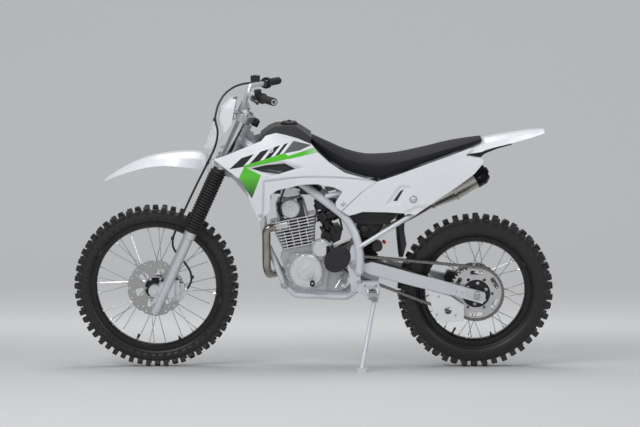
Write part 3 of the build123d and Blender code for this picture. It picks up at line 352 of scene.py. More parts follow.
def makeHalfPlane():
    # 1 on one side of a line drawn on the side view, 0 on the other, with a narrow soft edge
    tree, given, groupOut = newGroup("halfPlane", [
        ("Place", "NodeSocketVector", (0, 0, 0)), ("Inwards", "NodeSocketVector", (1, 0, 0)),
        ("Reach", "NodeSocketFloat", 0), ("Softness", "NodeSocketFloat", 0.6),
    ], [("Mask", "NodeSocketFloat")])
    along = vectorOf(tree, "DOT_PRODUCT", given["Place"], given["Inwards"])["Value"]
    soft = mathOf(tree, "DIVIDE", mathOf(tree, "SUBTRACT", along, given["Reach"]), given["Softness"])
    tree.links.new(mathOf(tree, "ADD", soft, 0.5, use_clamp=True), groupOut["Mask"])
    return tree


bikeSpace = makeBikeSpace()
surfaceGrain = makeGrain()
halfPlane = makeHalfPlane()


def insideAll(tree, place, lines, softness=0.6):
    # 1 where a point is inside every line, each given as the way inwards and its reach
    product = None
    for inwards, reach in lines:
        mask = addGroup(tree, halfPlane, Place=place, Inwards=tuple(inwards), Reach=reach,
                        Softness=softness)[0]
        product = mask if product is None else mathOf(tree, "MULTIPLY", product, mask)
    return product


def polygonMask(tree, place, corners, softness=0.6):
    # a convex shape on the side view, its corners in clockwise order as (x, z)
    lines = []
    for corner, after in zip(corners, corners[1:] + corners[:1]):
        run = Vector((after[0] - corner[0], 0, after[1] - corner[1])).normalized()
        inwards = Vector((run.z, 0, -run.x))
        lines.append((inwards, inwards.x * corner[0] + inwards.z * corner[1]))
    return insideAll(tree, place, lines, softness)


def finish(name, color, roughness, metallic=0.0, shade=0.1, spread=0.1, scale=60, bump=0.1, stretch=(1, 1, 1),
           coat=0.0, specular=0.5, paint=None, relief=None):
    # a Principled finish over the shared grain; paint may add shapes to its colour, relief to its height
    made = bpy.data.materials.new(name)
    made.use_nodes = True
    tree = made.node_tree
    place = addGroup(tree, bikeSpace)["Place"] if paint or relief else None
    base = paint(tree, place, (*color, 1)) if paint else (*color, 1)
    grain = addGroup(tree, surfaceGrain, Color=base, Shade=shade, Roughness=roughness, Spread=spread,
                     Scale=scale, Stretch=stretch)
    height = addNode(tree, "ShaderNodeBump", {"Height": grain["Height"], "Strength": bump,
                                              "Distance": 0.0002})
    if relief:
        level, depth = relief(tree, place)
        mould = addNode(tree, "ShaderNodeBump", {"Height": level, "Strength": 1.0, "Distance": depth})
        tree.links.new(mould.outputs["Normal"], height.inputs["Normal"])
    setInputs(tree, tree.nodes["Principled BSDF"], {
        "Base Color": grain["Color"], "Roughness": grain["Roughness"], "Normal": height.outputs["Normal"],
        "Metallic": metallic, "Coat Weight": coat, "Coat Roughness": 0.08, "Specular IOR Level": specular,
    })
    return made


# the engine's lines
engine = {
    "stator": (-41, 432), "starter": (22, 527), "cam": (-107, 694), "clutch": (-10, 425),
    "tilt": math.radians(11.6), "foot": (-72, 528), "finEdge": 55, "finTop": 203,
}
engineUp = Vector((-math.sin(engine["tilt"]), 0, math.cos(engine["tilt"])))
engineAhead = Vector((-math.cos(engine["tilt"]), 0, -math.sin(engine["tilt"])))


def enginePoint(height, ahead=0.0, y=0.0):
    return Vector((engine["foot"][0], y, engine["foot"][1])) + engineUp * height + engineAhead * ahead


# outlines painted or pressed on the side view, print and painted shade, as (x, z) corners in clockwise order
# seen from the left
blackInkAndShade, carrierBlack = (0.02, 0.02, 0.022, 1), (0.03, 0.03, 0.032, 1)
green, deepGreen, paleGreen = (0.098, 0.56, 0.028, 1), (0.02, 0.12, 0.012, 1), (0.80, 0.82, 0.84, 1)
graphicsAndShade = {
    "shardsAndVentShade": [
        ([(-134, 941), (-92, 990), (-18, 973), (-66, 952)], (0.13, 0.13, 0.14, 1)),
        ([(-356, 884), (-306, 928), (-254, 943), (-300, 893)], blackInkAndShade),
        ([(-276, 901), (-228, 951), (-190, 962), (-232, 914)], blackInkAndShade),
        ([(-214, 919), (-170, 968), (-146, 974), (-186, 928)], blackInkAndShade),
        ([(-168, 933), (-130, 978), (-114, 982), (-150, 938)], blackInkAndShade),
        # painted shade: a grey band round the vent stands in for the shade on its sunken bevel
        ([(-291, 889), (-137, 909), (-58, 882), (-174, 855)], (0.56, 0.58, 0.61, 1)),  # round the vent
        # painted shade: the vent's mouth is drawn black, as the shade inside it
        ([(-264, 886), (-208, 898), (-128, 903), (-84, 880), (-154, 860), (-222, 872)], blackInkAndShade),
    ],
    "greenBand": [[(-299, 897), (-128, 944), (-104, 921), (-293, 889)],
                  [(-138, 925), (8, 966), (14, 944), (-110, 919)]],
    "bandFade": (-50, 30, 0, 0.7),
    "greenBlock": [(-317, 846), (-294, 894), (-225, 858), (-264, 758)],
    "blockFade": (770, 852),
    # painted shade: the side panel's slit, drawn black
    "panelSlitShade": [(323, 737), (352, 779), (369, 788), (340, 737)],
    "guard": [(44, 434), (44, 540), (140, 540), (140, 434)],
    "guardY": -83.6,
}
pressings = {  # outline and softness of each, and how deep they go in metres
    "shroud": ([([(-296, 888), (-137, 912), (-50, 882), (-176, 852)], 12),
                ([(-222, 640), (-214, 832), (-60, 846), (130, 838), (268, 820), (60, 640)], 10)], -0.006),
    "panel": ([([(296, 722), (352, 800), (396, 796), (352, 722)], 12),
               ([(120, 660), (150, 716), (420, 712), (640, 838), (700, 870), (600, 700)], 14)], -0.005),
}
can = {"foot": Vector((494, 166, 674)), "way": Vector((64, 8, 38)).normalized(), "cap": 220.6}


def paintShroud(tree, place, base):
    split = splitOf(tree, place)
    color = base
    # the shards' print, then the vent's painted shade round it and inside it
    for corners, ink in graphicsAndShade["shardsAndVentShade"]:
        color = blendColor(tree, polygonMask(tree, place, corners), color, ink)
    bandGreen = blendColor(tree, rangeOf(tree, split["X"], *graphicsAndShade["bandFade"]), green, paleGreen)
    for corners in graphicsAndShade["greenBand"]:
        color = blendColor(tree, polygonMask(tree, place, corners), color, bandGreen)
    blockGreen = blendColor(tree, rangeOf(tree, split["Z"], *graphicsAndShade["blockFade"]), deepGreen, green)
    return blendColor(tree, polygonMask(tree, place, graphicsAndShade["greenBlock"]), color, blockGreen)


def pressed(key):
    # sunken forms: the shroud's vent and step, or the side panel's crease and the dish round its slit
    def relief(tree, place):
        outlines, depth = pressings[key]
        masks = [polygonMask(tree, place, corners, softness) for corners, softness in outlines]
        return mathOf(tree, "MAXIMUM", *masks), depth
    return relief


def roundPaint(centre, radius):
    # within a radius of an axle lies the hub's black carrier, behind the disc or sprocket
    def paint(tree, place, base):
        reach = vectorOf(tree, "SUBTRACT", place, (centre.x, 0, centre.z))[0]
        flat = vectorOf(tree, "MULTIPLY", reach, (1, 0, 1))[0]
        length = vectorOf(tree, "LENGTH", flat)["Value"]
        return blendColor(tree, mathOf(tree, "LESS_THAN", length, radius), base, carrierBlack)
    return paint


def paintPanelSlitShade(tree, place, base):
    # painted shade: the slit behind the side panel's crease is drawn black, as the shade inside it
    return blendColor(tree, polygonMask(tree, place, graphicsAndShade["panelSlitShade"]), base, blackInkAndShade)


def paintCovers(tree, place, base):
    # the sprocket's guard is black plastic beside the bare covers
    outboard = mathOf(tree, "LESS_THAN", splitOf(tree, place)["Y"], graphicsAndShade["guardY"])
    both = mathOf(tree, "MULTIPLY", outboard, polygonMask(tree, place, graphicsAndShade["guard"]))
    return blendColor(tree, both, base, blackInkAndShade)


def paintFins(tree, place, base):
    # the barrel between the fins lies in their shade
    foot, edge = enginePoint(0), engine["finEdge"]
    lines = [((0, 1, 0), -edge), ((0, -1, 0), -edge), (engineAhead, engineAhead.dot(foot) - edge),
             (-engineAhead, -engineAhead.dot(foot) - edge),
             (-engineUp, -engineUp.dot(foot) - engine["finTop"])]
    return blendColor(tree, insideAll(tree, place, lines), base, (0.07, 0.07, 0.072, 1))


def paintHeader(tree, place, base):
    # straw and brown heat marks that fade from the engine to the rear
    noise = addNode(tree, "ShaderNodeTexNoise", {"Vector": place, "Scale": 0.02, "Detail": 3}).outputs["Fac"]
    fade = rangeOf(tree, splitOf(tree, place)["X"], -200, 300, 0.75, 0.1)
    return blendColor(tree, mathOf(tree, "MULTIPLY", fade, noise), base, (0.26, 0.2, 0.15, 1))


def paintSilencer(tree, place, base):
    # the end cap is black beyond a line square to the can
    line = (can["way"], can["way"].dot(can["foot"]) + can["cap"])
    return blendColor(tree, insideAll(tree, place, [line], 0.4), base, (0.022, 0.022, 0.024, 1))


moulding = {"color": (0.80, 0.82, 0.85), "roughness": 0.24, "shade": 0.03, "spread": 0.08, "scale": 30,
            "bump": 0.04, "coat": 0.35}
white = finish("whiteMoulding", **moulding)
whiteShroud = finish("whiteMouldingWithShardsAndVentShade", **moulding, paint=paintShroud, relief=pressed("shroud"))
whitePanel = finish("whiteMouldingWithSlitShade", **moulding, paint=paintPanelSlitShade, relief=pressed("panel"))
whiteFlat = finish("whiteSatinMoulding", (0.74, 0.76, 0.78), 0.4, 0, 0.05)
blackPlastic = finish("blackMoulding", (0.017, 0.017, 0.019), 0.46, 0, 0.3, 0.15, 400, 0.25)
rubber = finish("rubber", (0.014, 0.014, 0.015), 0.56, 0, 0.3, 0.15, 300, 0.3)
tyreRubber = finish("tyreRubber", (0.013, 0.013, 0.0135), 0.44, 0, 0.35, 0.2, 120, 0.4)
seatVinyl = finish("seatVinyl", (0.014, 0.0145, 0.0165), 0.6, 0, 0.25, 0.12, 700, 0.35, specular=0.25)
framePaint = finish("silverFramePaint", (0.66, 0.69, 0.73), 0.34, 0.15, 0.06, 0.08, 500, 0.05, coat=0.3)
castAlloy = finish("castAlloy", (0.55, 0.56, 0.57), 0.4, 0.6, 0.3, 0.22, 120, 0.5)
coverAlloy = finish("coverAlloy", (0.76, 0.77, 0.78), 0.32, 0.55, 0.14, 0.18, 140, 0.25, paint=paintCovers)
finAlloy = finish("finAlloy", (0.74, 0.74, 0.75), 0.34, 0.5, 0.2, 0.2, 180, 0.3, paint=paintFins)
satinAlloy = finish("satinAlloy", (0.70, 0.72, 0.75), 0.32, 0.5, 0.1, 0.12, 140)
brushedAlloy = finish("brushedAlloy", (0.68, 0.70, 0.73), 0.34, 0.6, 0.1, 0.2, 60, stretch=(1, 1, 8))
brightSteel = finish("brightSteel", (0.66, 0.65, 0.63), 0.24, 1, 0.08, 0.1, 90, 0.05)
chrome = finish("hardChrome", (0.72, 0.72, 0.73), 0.1, 1, 0.04, 0.05, 60, 0.02)
zincPlate = finish("zincPlate", (0.55, 0.55, 0.56), 0.3, 1, 0.15, 0.15, 160)
stainless = finish("brushedStainless", (0.58, 0.55, 0.52), 0.28, 1, 0.12, 0.2, 40, stretch=(1, 12, 1),
                   paint=paintSilencer)
headerSteel = finish("heatedStainless", (0.5, 0.47, 0.43), 0.2, 1, 0.2, 0.15, 14, 0.05, paint=paintHeader)
blackRim = finish("blackAnodised", (0.014, 0.014, 0.015), 0.32, 0.3, 0.2, 0.1, 120, 0.05)
blackPaint = finish("blackPaint", (0.017, 0.017, 0.018), 0.34, 0, 0.2, 0.1, 200)
chainSteel = finish("chainSteel", (0.26, 0.255, 0.245), 0.36, 0.9, 0.3, 0.25, 200, 0.2)
discSteel = finish("discSteel", (0.46, 0.46, 0.46), 0.22, 1, 0.12, 0.1, 90, 0.05,
                   paint=roundPaint(frontAxle, 46))
rearDiscSteel = finish("rearDiscSteel", (0.3, 0.3, 0.3), 0.35, 0.9, 0.15, 0.1, 90, 0.05)
sprocketZinc = finish("sprocketZinc", (0.62, 0.62, 0.63), 0.3, 0.7, 0.1, 0.12, 160,
                      paint=roundPaint(rearAxle, 60))
redCap = finish("redCap", (0.52, 0.03, 0.02), 0.4, 0, 0.1, 0.1, 200)

nodeFinishes = [
    (tyreRubber, "front_tyre rear_tyre"), (blackRim, "front_rim rear_rim"), (discSteel, "front_disc"),
    (rearDiscSteel, "rear_disc"), (sprocketZinc, "rear_sprocket"), (brushedAlloy, "fork_lowers"),
    (chrome, "fork_tubes"), (rubber, "gaiters grips brake_hose mud_flap"),
    (castAlloy, "fork_clamps crankcase"),
    (satinAlloy, "handlebar front_caliper swingarm foot_controls"),
    (blackPaint, "front_hub rear_hub hand_levers carburettor rear_caliper shock_absorber"),
    (white, "number_plate front_fender rear_fender"), (framePaint, "main_frame subframe side_stand"),
    (zincPlate, "front_axle rear_axle drive_sprocket footpegs"), (finAlloy, "cylinder cylinder_head"),
    (coverAlloy, "engine_covers"), (chainSteel, "chain"), (whiteFlat, "chain_guide"),
    (blackPlastic, "fuel_tank airbox"), (whiteShroud, "shrouds"), (whitePanel, "side_panels"),
    (seatVinyl, "seat"), (headerSteel, "exhaust_header"), (stainless, "silencer"),
]
finishOf = {name: material for material, names in nodeFinishes for name in names.split()}
for nodeName, nodeObject in frame["nodes"].items():
    nodeObject.data.materials.clear()
    nodeObject.data.materials.append(finishOf[nodeName])
print("materials set")


# node trees for what repeats
def newGeometryTree(name, inputs):
    tree = bpy.data.node_groups.new(name, "GeometryNodeTree")
    for label, kind in [("Geometry", "Geometry")] + inputs:
        tree.interface.new_socket(label, in_out="INPUT", socket_type="NodeSocket" + kind)
    tree.interface.new_socket("Geometry", in_out="OUTPUT", socket_type="NodeSocketGeometry")
    return tree, tree.nodes.new("NodeGroupInput").outputs, tree.nodes.new("NodeGroupOutput").inputs


def named(tree, name, kind):
    values = {"Name": name}
    return addNode(tree, "GeometryNodeInputNamedAttribute", values, data_type=kind).outputs["Attribute"]


def copiesAt(tree, points, source, **values):
    # a copy of the source piece on each point
    info = addNode(tree, "GeometryNodeObjectInfo", {"Object": source})
    return addNode(tree, "GeometryNodeInstanceOnPoints", {
        "Points": points, "Instance": info.outputs["Geometry"], **values}).outputs[0]


def turnOf(tree, axis, angle):
    return addNode(tree, "ShaderNodeCombineXYZ", {axis: angle}).outputs[0]


def realizeInto(tree, instances, material, groupOut):
    # every tree ends in plain geometry with its material set
    real = addNode(tree, "GeometryNodeRealizeInstances", {0: instances})
    dressed = addNode(tree, "GeometryNodeSetMaterial", {"Geometry": real.outputs[0], "Material": material})
    tree.links.new(dressed.outputs[0], groupOut[0])


def makeCopiesTree():
    # copies of a source piece, each turned about y and moved on by a step from the one before
    tree, given, groupOut = newGeometryTree("copies", [
        ("Source", "Object"), ("Count", "Int"), ("Turn", "Float"), ("Step", "Vector"),
        ("Material", "Material"),
    ])
    index = addNode(tree, "GeometryNodeInputIndex").outputs[0]
    offset = addNode(tree, "ShaderNodeVectorMath", {0: given["Step"], "Scale": index}, operation="SCALE")
    points = addNode(tree, "GeometryNodePoints", {"Count": given["Count"], "Position": offset.outputs[0]})
    turn = turnOf(tree, "Y", mathOf(tree, "MULTIPLY", index, given["Turn"]))
    copies = copiesAt(tree, points.outputs[0], given["Source"], Rotation=turn)
    realizeInto(tree, copies, given["Material"], groupOut)
    return tree


def makeLinksTree():
    # one link on each point of a loop, turned to the point's slope; inner and outer links take turns
    tree, given, groupOut = newGeometryTree("linksOnLoop", [
        ("Outer", "Object"), ("Inner", "Object"), ("Material", "Material"),
    ])
    odd = mathOf(tree, "MODULO", addNode(tree, "GeometryNodeInputIndex").outputs[0], 2.0)
    even = mathOf(tree, "SUBTRACT", 1.0, odd)
    turn = turnOf(tree, "Y", named(tree, "slope", "FLOAT"))
    join = addNode(tree, "GeometryNodeJoinGeometry")
    for label, choice in (("Outer", odd), ("Inner", even)):
        links = copiesAt(tree, given[0], given[label], Selection=choice, Rotation=turn)
        tree.links.new(links, join.inputs[0])
    realizeInto(tree, join.outputs[0], given["Material"], groupOut)
    return tree


def makeFastenersTree():
    # one fastener on each point, standing along the point's heading and scaled to its size
    tree, given, groupOut = newGeometryTree("fasteners", [
        ("Fastener", "Object"), ("Material", "Material"), ("Seed", "Int"),
    ])
    spin = addNode(tree, "FunctionNodeRandomValue", {"Seed": given["Seed"], 3: 2 * math.pi},
                   data_type="FLOAT")
    along = addNode(tree, "FunctionNodeAlignRotationToVector",
                    {"Vector": named(tree, "heading", "FLOAT_VECTOR")}, axis="Z")
    copies = copiesAt(tree, given[0], given["Fastener"], Rotation=along.outputs[0],
                      Scale=named(tree, "size", "FLOAT"))
    spun = addNode(tree, "GeometryNodeRotateInstances",
                   {"Instances": copies, "Rotation": turnOf(tree, "Z", spin.outputs[1])})
    realizeInto(tree, spun.outputs[0], given["Material"], groupOut)
    return tree


copiesTree = makeCopiesTree()
linksTree = makeLinksTree()
fastenersTree = makeFastenersTree()


def runTree(tree, name, baseMesh, settings):
    # evaluates a tree on a base mesh and hands back a plain mesh; the modifier and the source pieces go
    host = linked(name, baseMesh)
    modifier = host.modifiers.new(name, "NODES")
    modifier.node_group = tree
    for label, value in settings.items():
        modifier[tree.interface.items_tree[label].identifier] = value
    evaluated = host.evaluated_get(bpy.context.evaluated_depsgraph_get())
    mesh = bpy.data.meshes.new_from_object(evaluated)
    host.modifiers.remove(modifier)
    for used in [host] + [value for value in settings.values() if isinstance(value, bpy.types.Object)]:
        bpy.data.objects.remove(used)
    return mesh


def copiesOf(name, shape, material, count, turn=0.0, step=(0, 0, 0), sharp=32):
    return runTree(copiesTree, name, bpy.data.meshes.new(name + "Base"), {
        "Source": linked(name + "Source", makeMesh(name + "Source", shape, sharp=sharp)), "Count": count,
        "Turn": turn, "Step": step, "Material": material,
    })


def joinMeshes(name, parts):
    # meshes with their own materials and places made one, still in bike space
    joined = bmesh.new()
    materials = []
    for mesh, matrix in parts:
        materials += [material for material in mesh.materials if material not in materials]
        slots = [materials.index(material) for material in mesh.materials]
        start = len(joined.faces)
        part = mesh.copy()
        part.transform(matrix)
        joined.from_mesh(part)
        joined.faces.ensure_lookup_table()
        for face in joined.faces[start:]:
            face.material_index = slots[face.material_index]
        bpy.data.meshes.remove(part)
    mesh = bpy.data.meshes.new(name)
    joined.to_mesh(mesh)
    joined.free()
    for material in materials:
        mesh.materials.append(material)
    return mesh


def bolt(name, places, kind, body, material=zincPlate):
    # fasteners of one kind at (place, heading, size)
    base = bpy.data.meshes.new(name + "Base")
    base.from_pydata([tuple(place) for place, _, _ in places], [], [])
    base.attributes.new("heading", "FLOAT_VECTOR", "POINT").data.foreach_set(
        "vector", [value for _, heading, _ in places for value in Vector(heading).normalized()])
    base.attributes.new("size", "FLOAT", "POINT").data.foreach_set("value", [size for _, _, size in places])
    source = linked(name + "Source", makeMesh(name + "Source", kind(), sharp=30, merge=0.0005))
    settings = {"Fastener": source, "Material": material, "Seed": 5}
    placePiece(name, runTree(fastenersTree, name, base, settings), body)


# tyres: a carcass, and one pitch of lugs copied round it
tyres = {
    "front": {"tip": 350, "carcass": 329, "rim": 278, "half": 40, "pitches": 28, "lug": 21, "lugHalf": 13,
              "shoulder": 20, "axle": frontAxle, "body": "front_wheel", "node": "front_tyre"},
    "rear": {"tip": 331, "carcass": 309, "rim": 236, "half": 50, "pitches": 23, "lug": 24, "lugHalf": 17,
             "shoulder": 23, "axle": rearAxle, "body": "rear_wheel", "node": "rear_tyre"},
}


def lug(length, half, foot, tip, chamfer, taper, sipe=0):
    # a block on the lowest point of the tyre: wider at its foot, chamfered at its worn edge, with a cross cut
    shape = Shape()
    for low, high in ((-half, -sipe / 2), (sipe / 2, half)) if sipe else ((-half, half),):
        verts = []
        for radius, spread, narrow in ((foot, taper, 0), (tip - chamfer, 0, 0), (tip, -chamfer, chamfer)):
            reach = length / 2 + spread
            verts += [(-reach, low + narrow, -radius), (reach, low + narrow, -radius),
                      (reach, high - narrow, -radius), (-reach, high - narrow, -radius)]
        shape.add((verts, [(0, 3, 2, 1), (8, 9, 10, 11)] + gridFaces(3, 4)))
    return shape.verts, shape.faces


def carcassProfile(size):
    # from one bead over the crown to the other, with two raised lines on each wall
    rim, carcass, half = size["rim"] + 0.6, size["carcass"], size["half"]
    wall = [(rim, 0.62), (rim + 3, 0.72), (rim + 7, 0.76), (rim + 10, 0.84), (rim + 12, 0.83),
            (rim + 17, 0.93), (rim + 0.5 * (carcass - rim), 0.985), (rim + 0.62 * (carcass - rim), 0.98),
            (carcass - 11, 0.9), (carcass - 9, 0.9), (carcass - 6, 0.8), (carcass - 2.5, 0.55),
            (carcass - 0.4, 0.25)]
    return [(radius, share * half) for radius, share in wall] + [(carcass, 0)] + [
        (radius, -share * half) for radius, share in reversed(wall)]


def outOnTyre(size, side, share, tilt):
    # out to a share of the tyre's half width, tilted about its carcass
    carcass = size["carcass"]
    turn = Matrix.Rotation(side * math.radians(tilt), 4, "X")
    place = Matrix.Translation((0, side * share * size["half"], -carcass))
    return place @ turn @ Matrix.Translation((0, 0, carcass))


def makeTyre(key):
    size = tyres[key]
    carcass, tip, shoulder = size["carcass"], size["tip"], size["shoulder"]
    pitch = 2 * math.pi / size["pitches"]
    block = Shape().add(lug(size["lug"], size["lugHalf"], carcass - 3, tip, 1.6, 1.6, 3.0))
    for side in sides:
        outer = lug(shoulder, 0.19 * size["half"], carcass - 12, tip - 2.5, 1.4, 1.5)
        block.add(outer, Matrix.Rotation(pitch / 2, 4, "Y") @ outOnTyre(size, side, 0.72, 16))
        # below the row in turn, a block on the wall and a bar down it
        block.add(lug(shoulder, 3.4, carcass - 20, tip - 13, 1.4, 1.0), outOnTyre(size, side, 0.86, 20))
        for turn, spread in ((0, 0.5), (pitch / 2, 0.8)):
            level = Matrix.Translation((0, side * 0.945 * size["half"], 0))
            block.add(lug(shoulder * spread, 2.0, carcass - 40, carcass - 14, 1.2, 0.6),
                      Matrix.Rotation(turn, 4, "Y") @ level)
    lugs = copiesOf(key + "Lugs", block, tyreRubber, size["pitches"], pitch)
    wall = makeMesh(key + "Carcass", Shape().add(ring(carcassProfile(size), 132), upright), tyreRubber, 50)
    place = Matrix.Translation(size["axle"])
    mesh = joinMeshes(key + "TyreMesh", [(wall, place), (lugs, place)])
    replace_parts(placePiece(key + "TreadTyre", mesh, size["body"]), size["node"])


for key in tyres:
    makeTyre(key)
print("tyres built")

# hubs, spokes and rim trim; a carrier is its seat's radius and y, then its pilot's
wheels = {
    "front": {"hub": 30, "flange": 41, "end": 70, "bore": 8.05, "rimInner": 254, "axle": frontAxle,
              "body": "front_wheel", "node": "front_hub", "left": (46, 44.7, 35, 49), "right": None,
              "valve": (-83, -224), "lock": (92, -221)},
    "rear": {"hub": 48, "flange": 62, "end": 79, "bore": 9.05, "rimInner": 212, "axle": rearAxle,
             "body": "rear_wheel", "node": "rear_hub", "left": (56, 64.7, 30, 71),
             "right": (56, 49.7, 30, 54), "valve": (-89, -180), "lock": (70, -188)},
}
rimParts = {
    "valve": ([(0, 0), (6.5, 0), (6.5, 3), (4, 4.5), (4, 14), (4.6, 15), (4.6, 27), (3, 30), (0, 30)], 16),
    "lock": ([(0, 0), (9, 0), (9, 2), (6, 3), (6, 8), (3.5, 9), (3.5, 17), (0, 18)], 12),
}
spokes = {"count": 32, "group": 4, "sweep": math.radians(42), "radius": 1.7, "flangeY": 30, "nipple": 15,
          "profile": [(0, 0), (2.4, 0), (3.1, 1.5), (3.1, 11), (4.6, 14), (4.6, 17), (0, 17)],
          "head": [(0, -1.2), (3.0, -0.6), (3.4, 0.6), (2.4, 1.8), (0, 2)]}


def hubHalf(size, carrier):
    # half of the hub's outline from its bore out to its barrel, as (radius, distance from the middle)
    flange, flangeY, barrel, bore = size["flange"], spokes["flangeY"], size["hub"], size["bore"]
    points = [(bore, size["end"]), (bore + 8, size["end"]), (bore + 9, size["end"] - 1)]
    if carrier:
        seatR, seatY, pilotR, pilotY = carrier
        points += [(bore + 9, pilotY), (pilotR - 1, pilotY), (pilotR, pilotY - 1), (pilotR, seatY),
                   (seatR - 1, seatY), (seatR, seatY - 1), (seatR, flangeY + 10), (seatR - 4, flangeY + 4)]
    else:
        points += [(bore + 9, flangeY + 12), (bore + 16, flangeY + 4)]
    return points + [(flange - 1, flangeY + 4), (flange, flangeY + 3), (flange, flangeY - 1),
                     (flange - 1, flangeY - 2), (barrel + 4, flangeY - 5), (barrel, flangeY - 10),
                     (barrel - 5, flangeY - 18)]


def makeWheelCentre(key):
    size = wheels[key]
    right = [(r, -y) for r, y in reversed(hubHalf(size, size["right"]))]
    hub = Shape().add(ring(hubHalf(size, size["left"]) + right, 64), upright)
    group = Shape()
    for number, angle in enumerate(angles(spokes["count"])[:spokes["group"]]):
        side = 1 if number % 2 else -1
        far = angle + (1 if number < 2 else -1) * spokes["sweep"]
        start = sidePoint(size["flange"] - 4, angle, side * (spokes["flangeY"] + 5))
        bend = sidePoint(size["flange"] - 4, angle, side * (spokes["flangeY"] - 3))
        end = sidePoint(size["rimInner"] + 3, far, side * 6)
        line = (end - bend).normalized()
        group.rod([start, bend + line * 3, end], spokes["radius"])
        group.turned(spokes["head"], start, (0, side, 0), 12)
        group.turned(spokes["profile"], end - line * spokes["nipple"], line, 8)
    copies = spokes["count"] // spokes["group"]
    laced = copiesOf(key + "Spokes", group, brightSteel, copies, 2 * math.pi / copies)
    place = Matrix.Translation(size["axle"])
    mesh = joinMeshes(key + "HubMesh", [(makeMesh(key + "Hub", hub, blackPaint), place), (laced, place)])
    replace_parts(placePiece(key + "LacedHub", mesh, size["body"]), size["node"])

    trim = Shape()
    for part, (profile, segments) in rimParts.items():
        x, z = size[part]
        spot, inwards = Vector((x, 0, z)), Vector((-x, 0, -z)).normalized()
        foot = spot - inwards * (size["rimInner"] + 1 - spot.length)
        trim.add(lathe(profile, segments), place @ headed(foot, inwards))
    makePiece(key + "RimTrim", trim, size["body"], blackPlastic)


def boltCircle(centre, radius, y, side, size, phase=0.0):
    # six bolts round an axle
    return [(sidePoint(radius, angle, y) + Vector((centre.x, 0, centre.z)), (0, side, 0), size)
            for angle in angles(6, phase)]


for key in wheels:
    makeWheelCentre(key)
bolt("frontDiscBolts", boltCircle(frontAxle, 41, -49, -1, 5.5), socketBolt, "front_wheel")
bolt("rearWheelBolts", [*boltCircle(rearAxle, 45, -71, -1, 6.5, 0.4),
                        *boltCircle(rearAxle, 44, 54, 1, 5.5, 0.2)], hexBolt, "rear_wheel")
print("wheels built")

# the chain; each kind of link has its plates' y, its pins' half length and their radius
drive = {"pitch": 15.875, "rearTeeth": 45, "frontTeeth": 13, "y": -68, "front": (105, 468), "plateHalf": 6.4,
         "waist": 4.6, "wall": 1.9, "arcSteps": 120,
         "links": {"outer": (9.0, 10.6, 2.6), "inner": (6.4, 5.6, 4.9)}}


def chainLoop():
    # pin places and slopes round both sprockets, evenly spaced on the closed pitch line
    bigR = drive["pitch"] / (2 * math.sin(math.pi / drive["rearTeeth"]))
    smallR = drive["pitch"] / (2 * math.sin(math.pi / drive["frontTeeth"]))
    small, big = Vector(drive["front"]), Vector((rearAxle.x, rearAxle.z))
    line = big - small
    heading = math.atan2(line.y, line.x)
    spread = math.asin((bigR - smallR) / line.length)
    upper, lower = heading + math.pi / 2 + spread, heading + 1.5 * math.pi - spread
    path = []
    arcs = ((small, smallR, upper, lower), (big, bigR, lower - 2 * math.pi, upper))
    for centre, radius, first, last in arcs:
        for n in range(drive["arcSteps"] + 1):
            path.append(centre + Vector(onCircle(radius, first + (last - first) * n / drive["arcSteps"])))
    path.append(path[0])
    lengths = [0.0]
    for before, after in zip(path, path[1:]):
        lengths.append(lengths[-1] + (after - before).length)
    count = 2 * round(lengths[-1] / (2 * drive["pitch"]))
    pins, segment = [], 0
    for n in range(count):
        target = lengths[-1] * n / count
        while lengths[segment + 1] < target:
            segment += 1
        share = (target - lengths[segment]) / max(lengths[segment + 1] - lengths[segment], 1e-9)
        pins.append(path[segment].lerp(path[segment + 1], share))
    runs = [after - pin for pin, after in zip(pins, pins[1:] + pins[:1])]
    return pins, [-math.atan2(run.y, run.x) for run in runs]


def linkPlate(y):
    # a waisted side plate from one pin to the next
    outline = []
    for centre, first, waist in ((drive["pitch"], -60, drive["waist"]), (0, 120, -drive["waist"])):
        for step in range(6):
            x, z = onCircle(drive["plateHalf"], math.radians(first + step * 24))
            outline.append((centre + x, z))
        outline.append((drive["pitch"] / 2, waist))
    return sidePlate(outline, y - drive["wall"] / 2, y + drive["wall"] / 2, 0.35)


def makeChain():
    pins, slopes = chainLoop()
    links = []
    for name, (y, reach, radius) in drive["links"].items():
        shape = Shape()
        for side in sides:
            shape.add(linkPlate(drive["y"] + side * y))
        for x in (0, drive["pitch"]):
            shape.add(lathe([(0, -reach), (radius, -reach), (radius, reach), (0, reach)], 10),
                      Matrix.Translation((x, drive["y"], 0)) @ upright)
        links.append(linked(name + "Link", makeMesh(name + "Link", shape)))
    base = bpy.data.meshes.new("chainPins")
    base.from_pydata([(pin.x, 0, pin.y) for pin in pins], [], [])
    base.attributes.new("slope", "FLOAT", "POINT").data.foreach_set("value", slopes)
    mesh = runTree(linksTree, "chainLinks", base, {"Outer": links[0], "Inner": links[1],
                                                   "Material": chainSteel})
    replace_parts(placePiece("rollerChain", mesh, "chassis"), "chain")


makeChain()
print("chain built")

# fork bellows: one rib copied up each leg between two collars
bellows = {"low": 293.3, "high": 588, "collar": 10, "ribs": 22, "peak": 34, "valley": 27.6, "bore": 18.6}


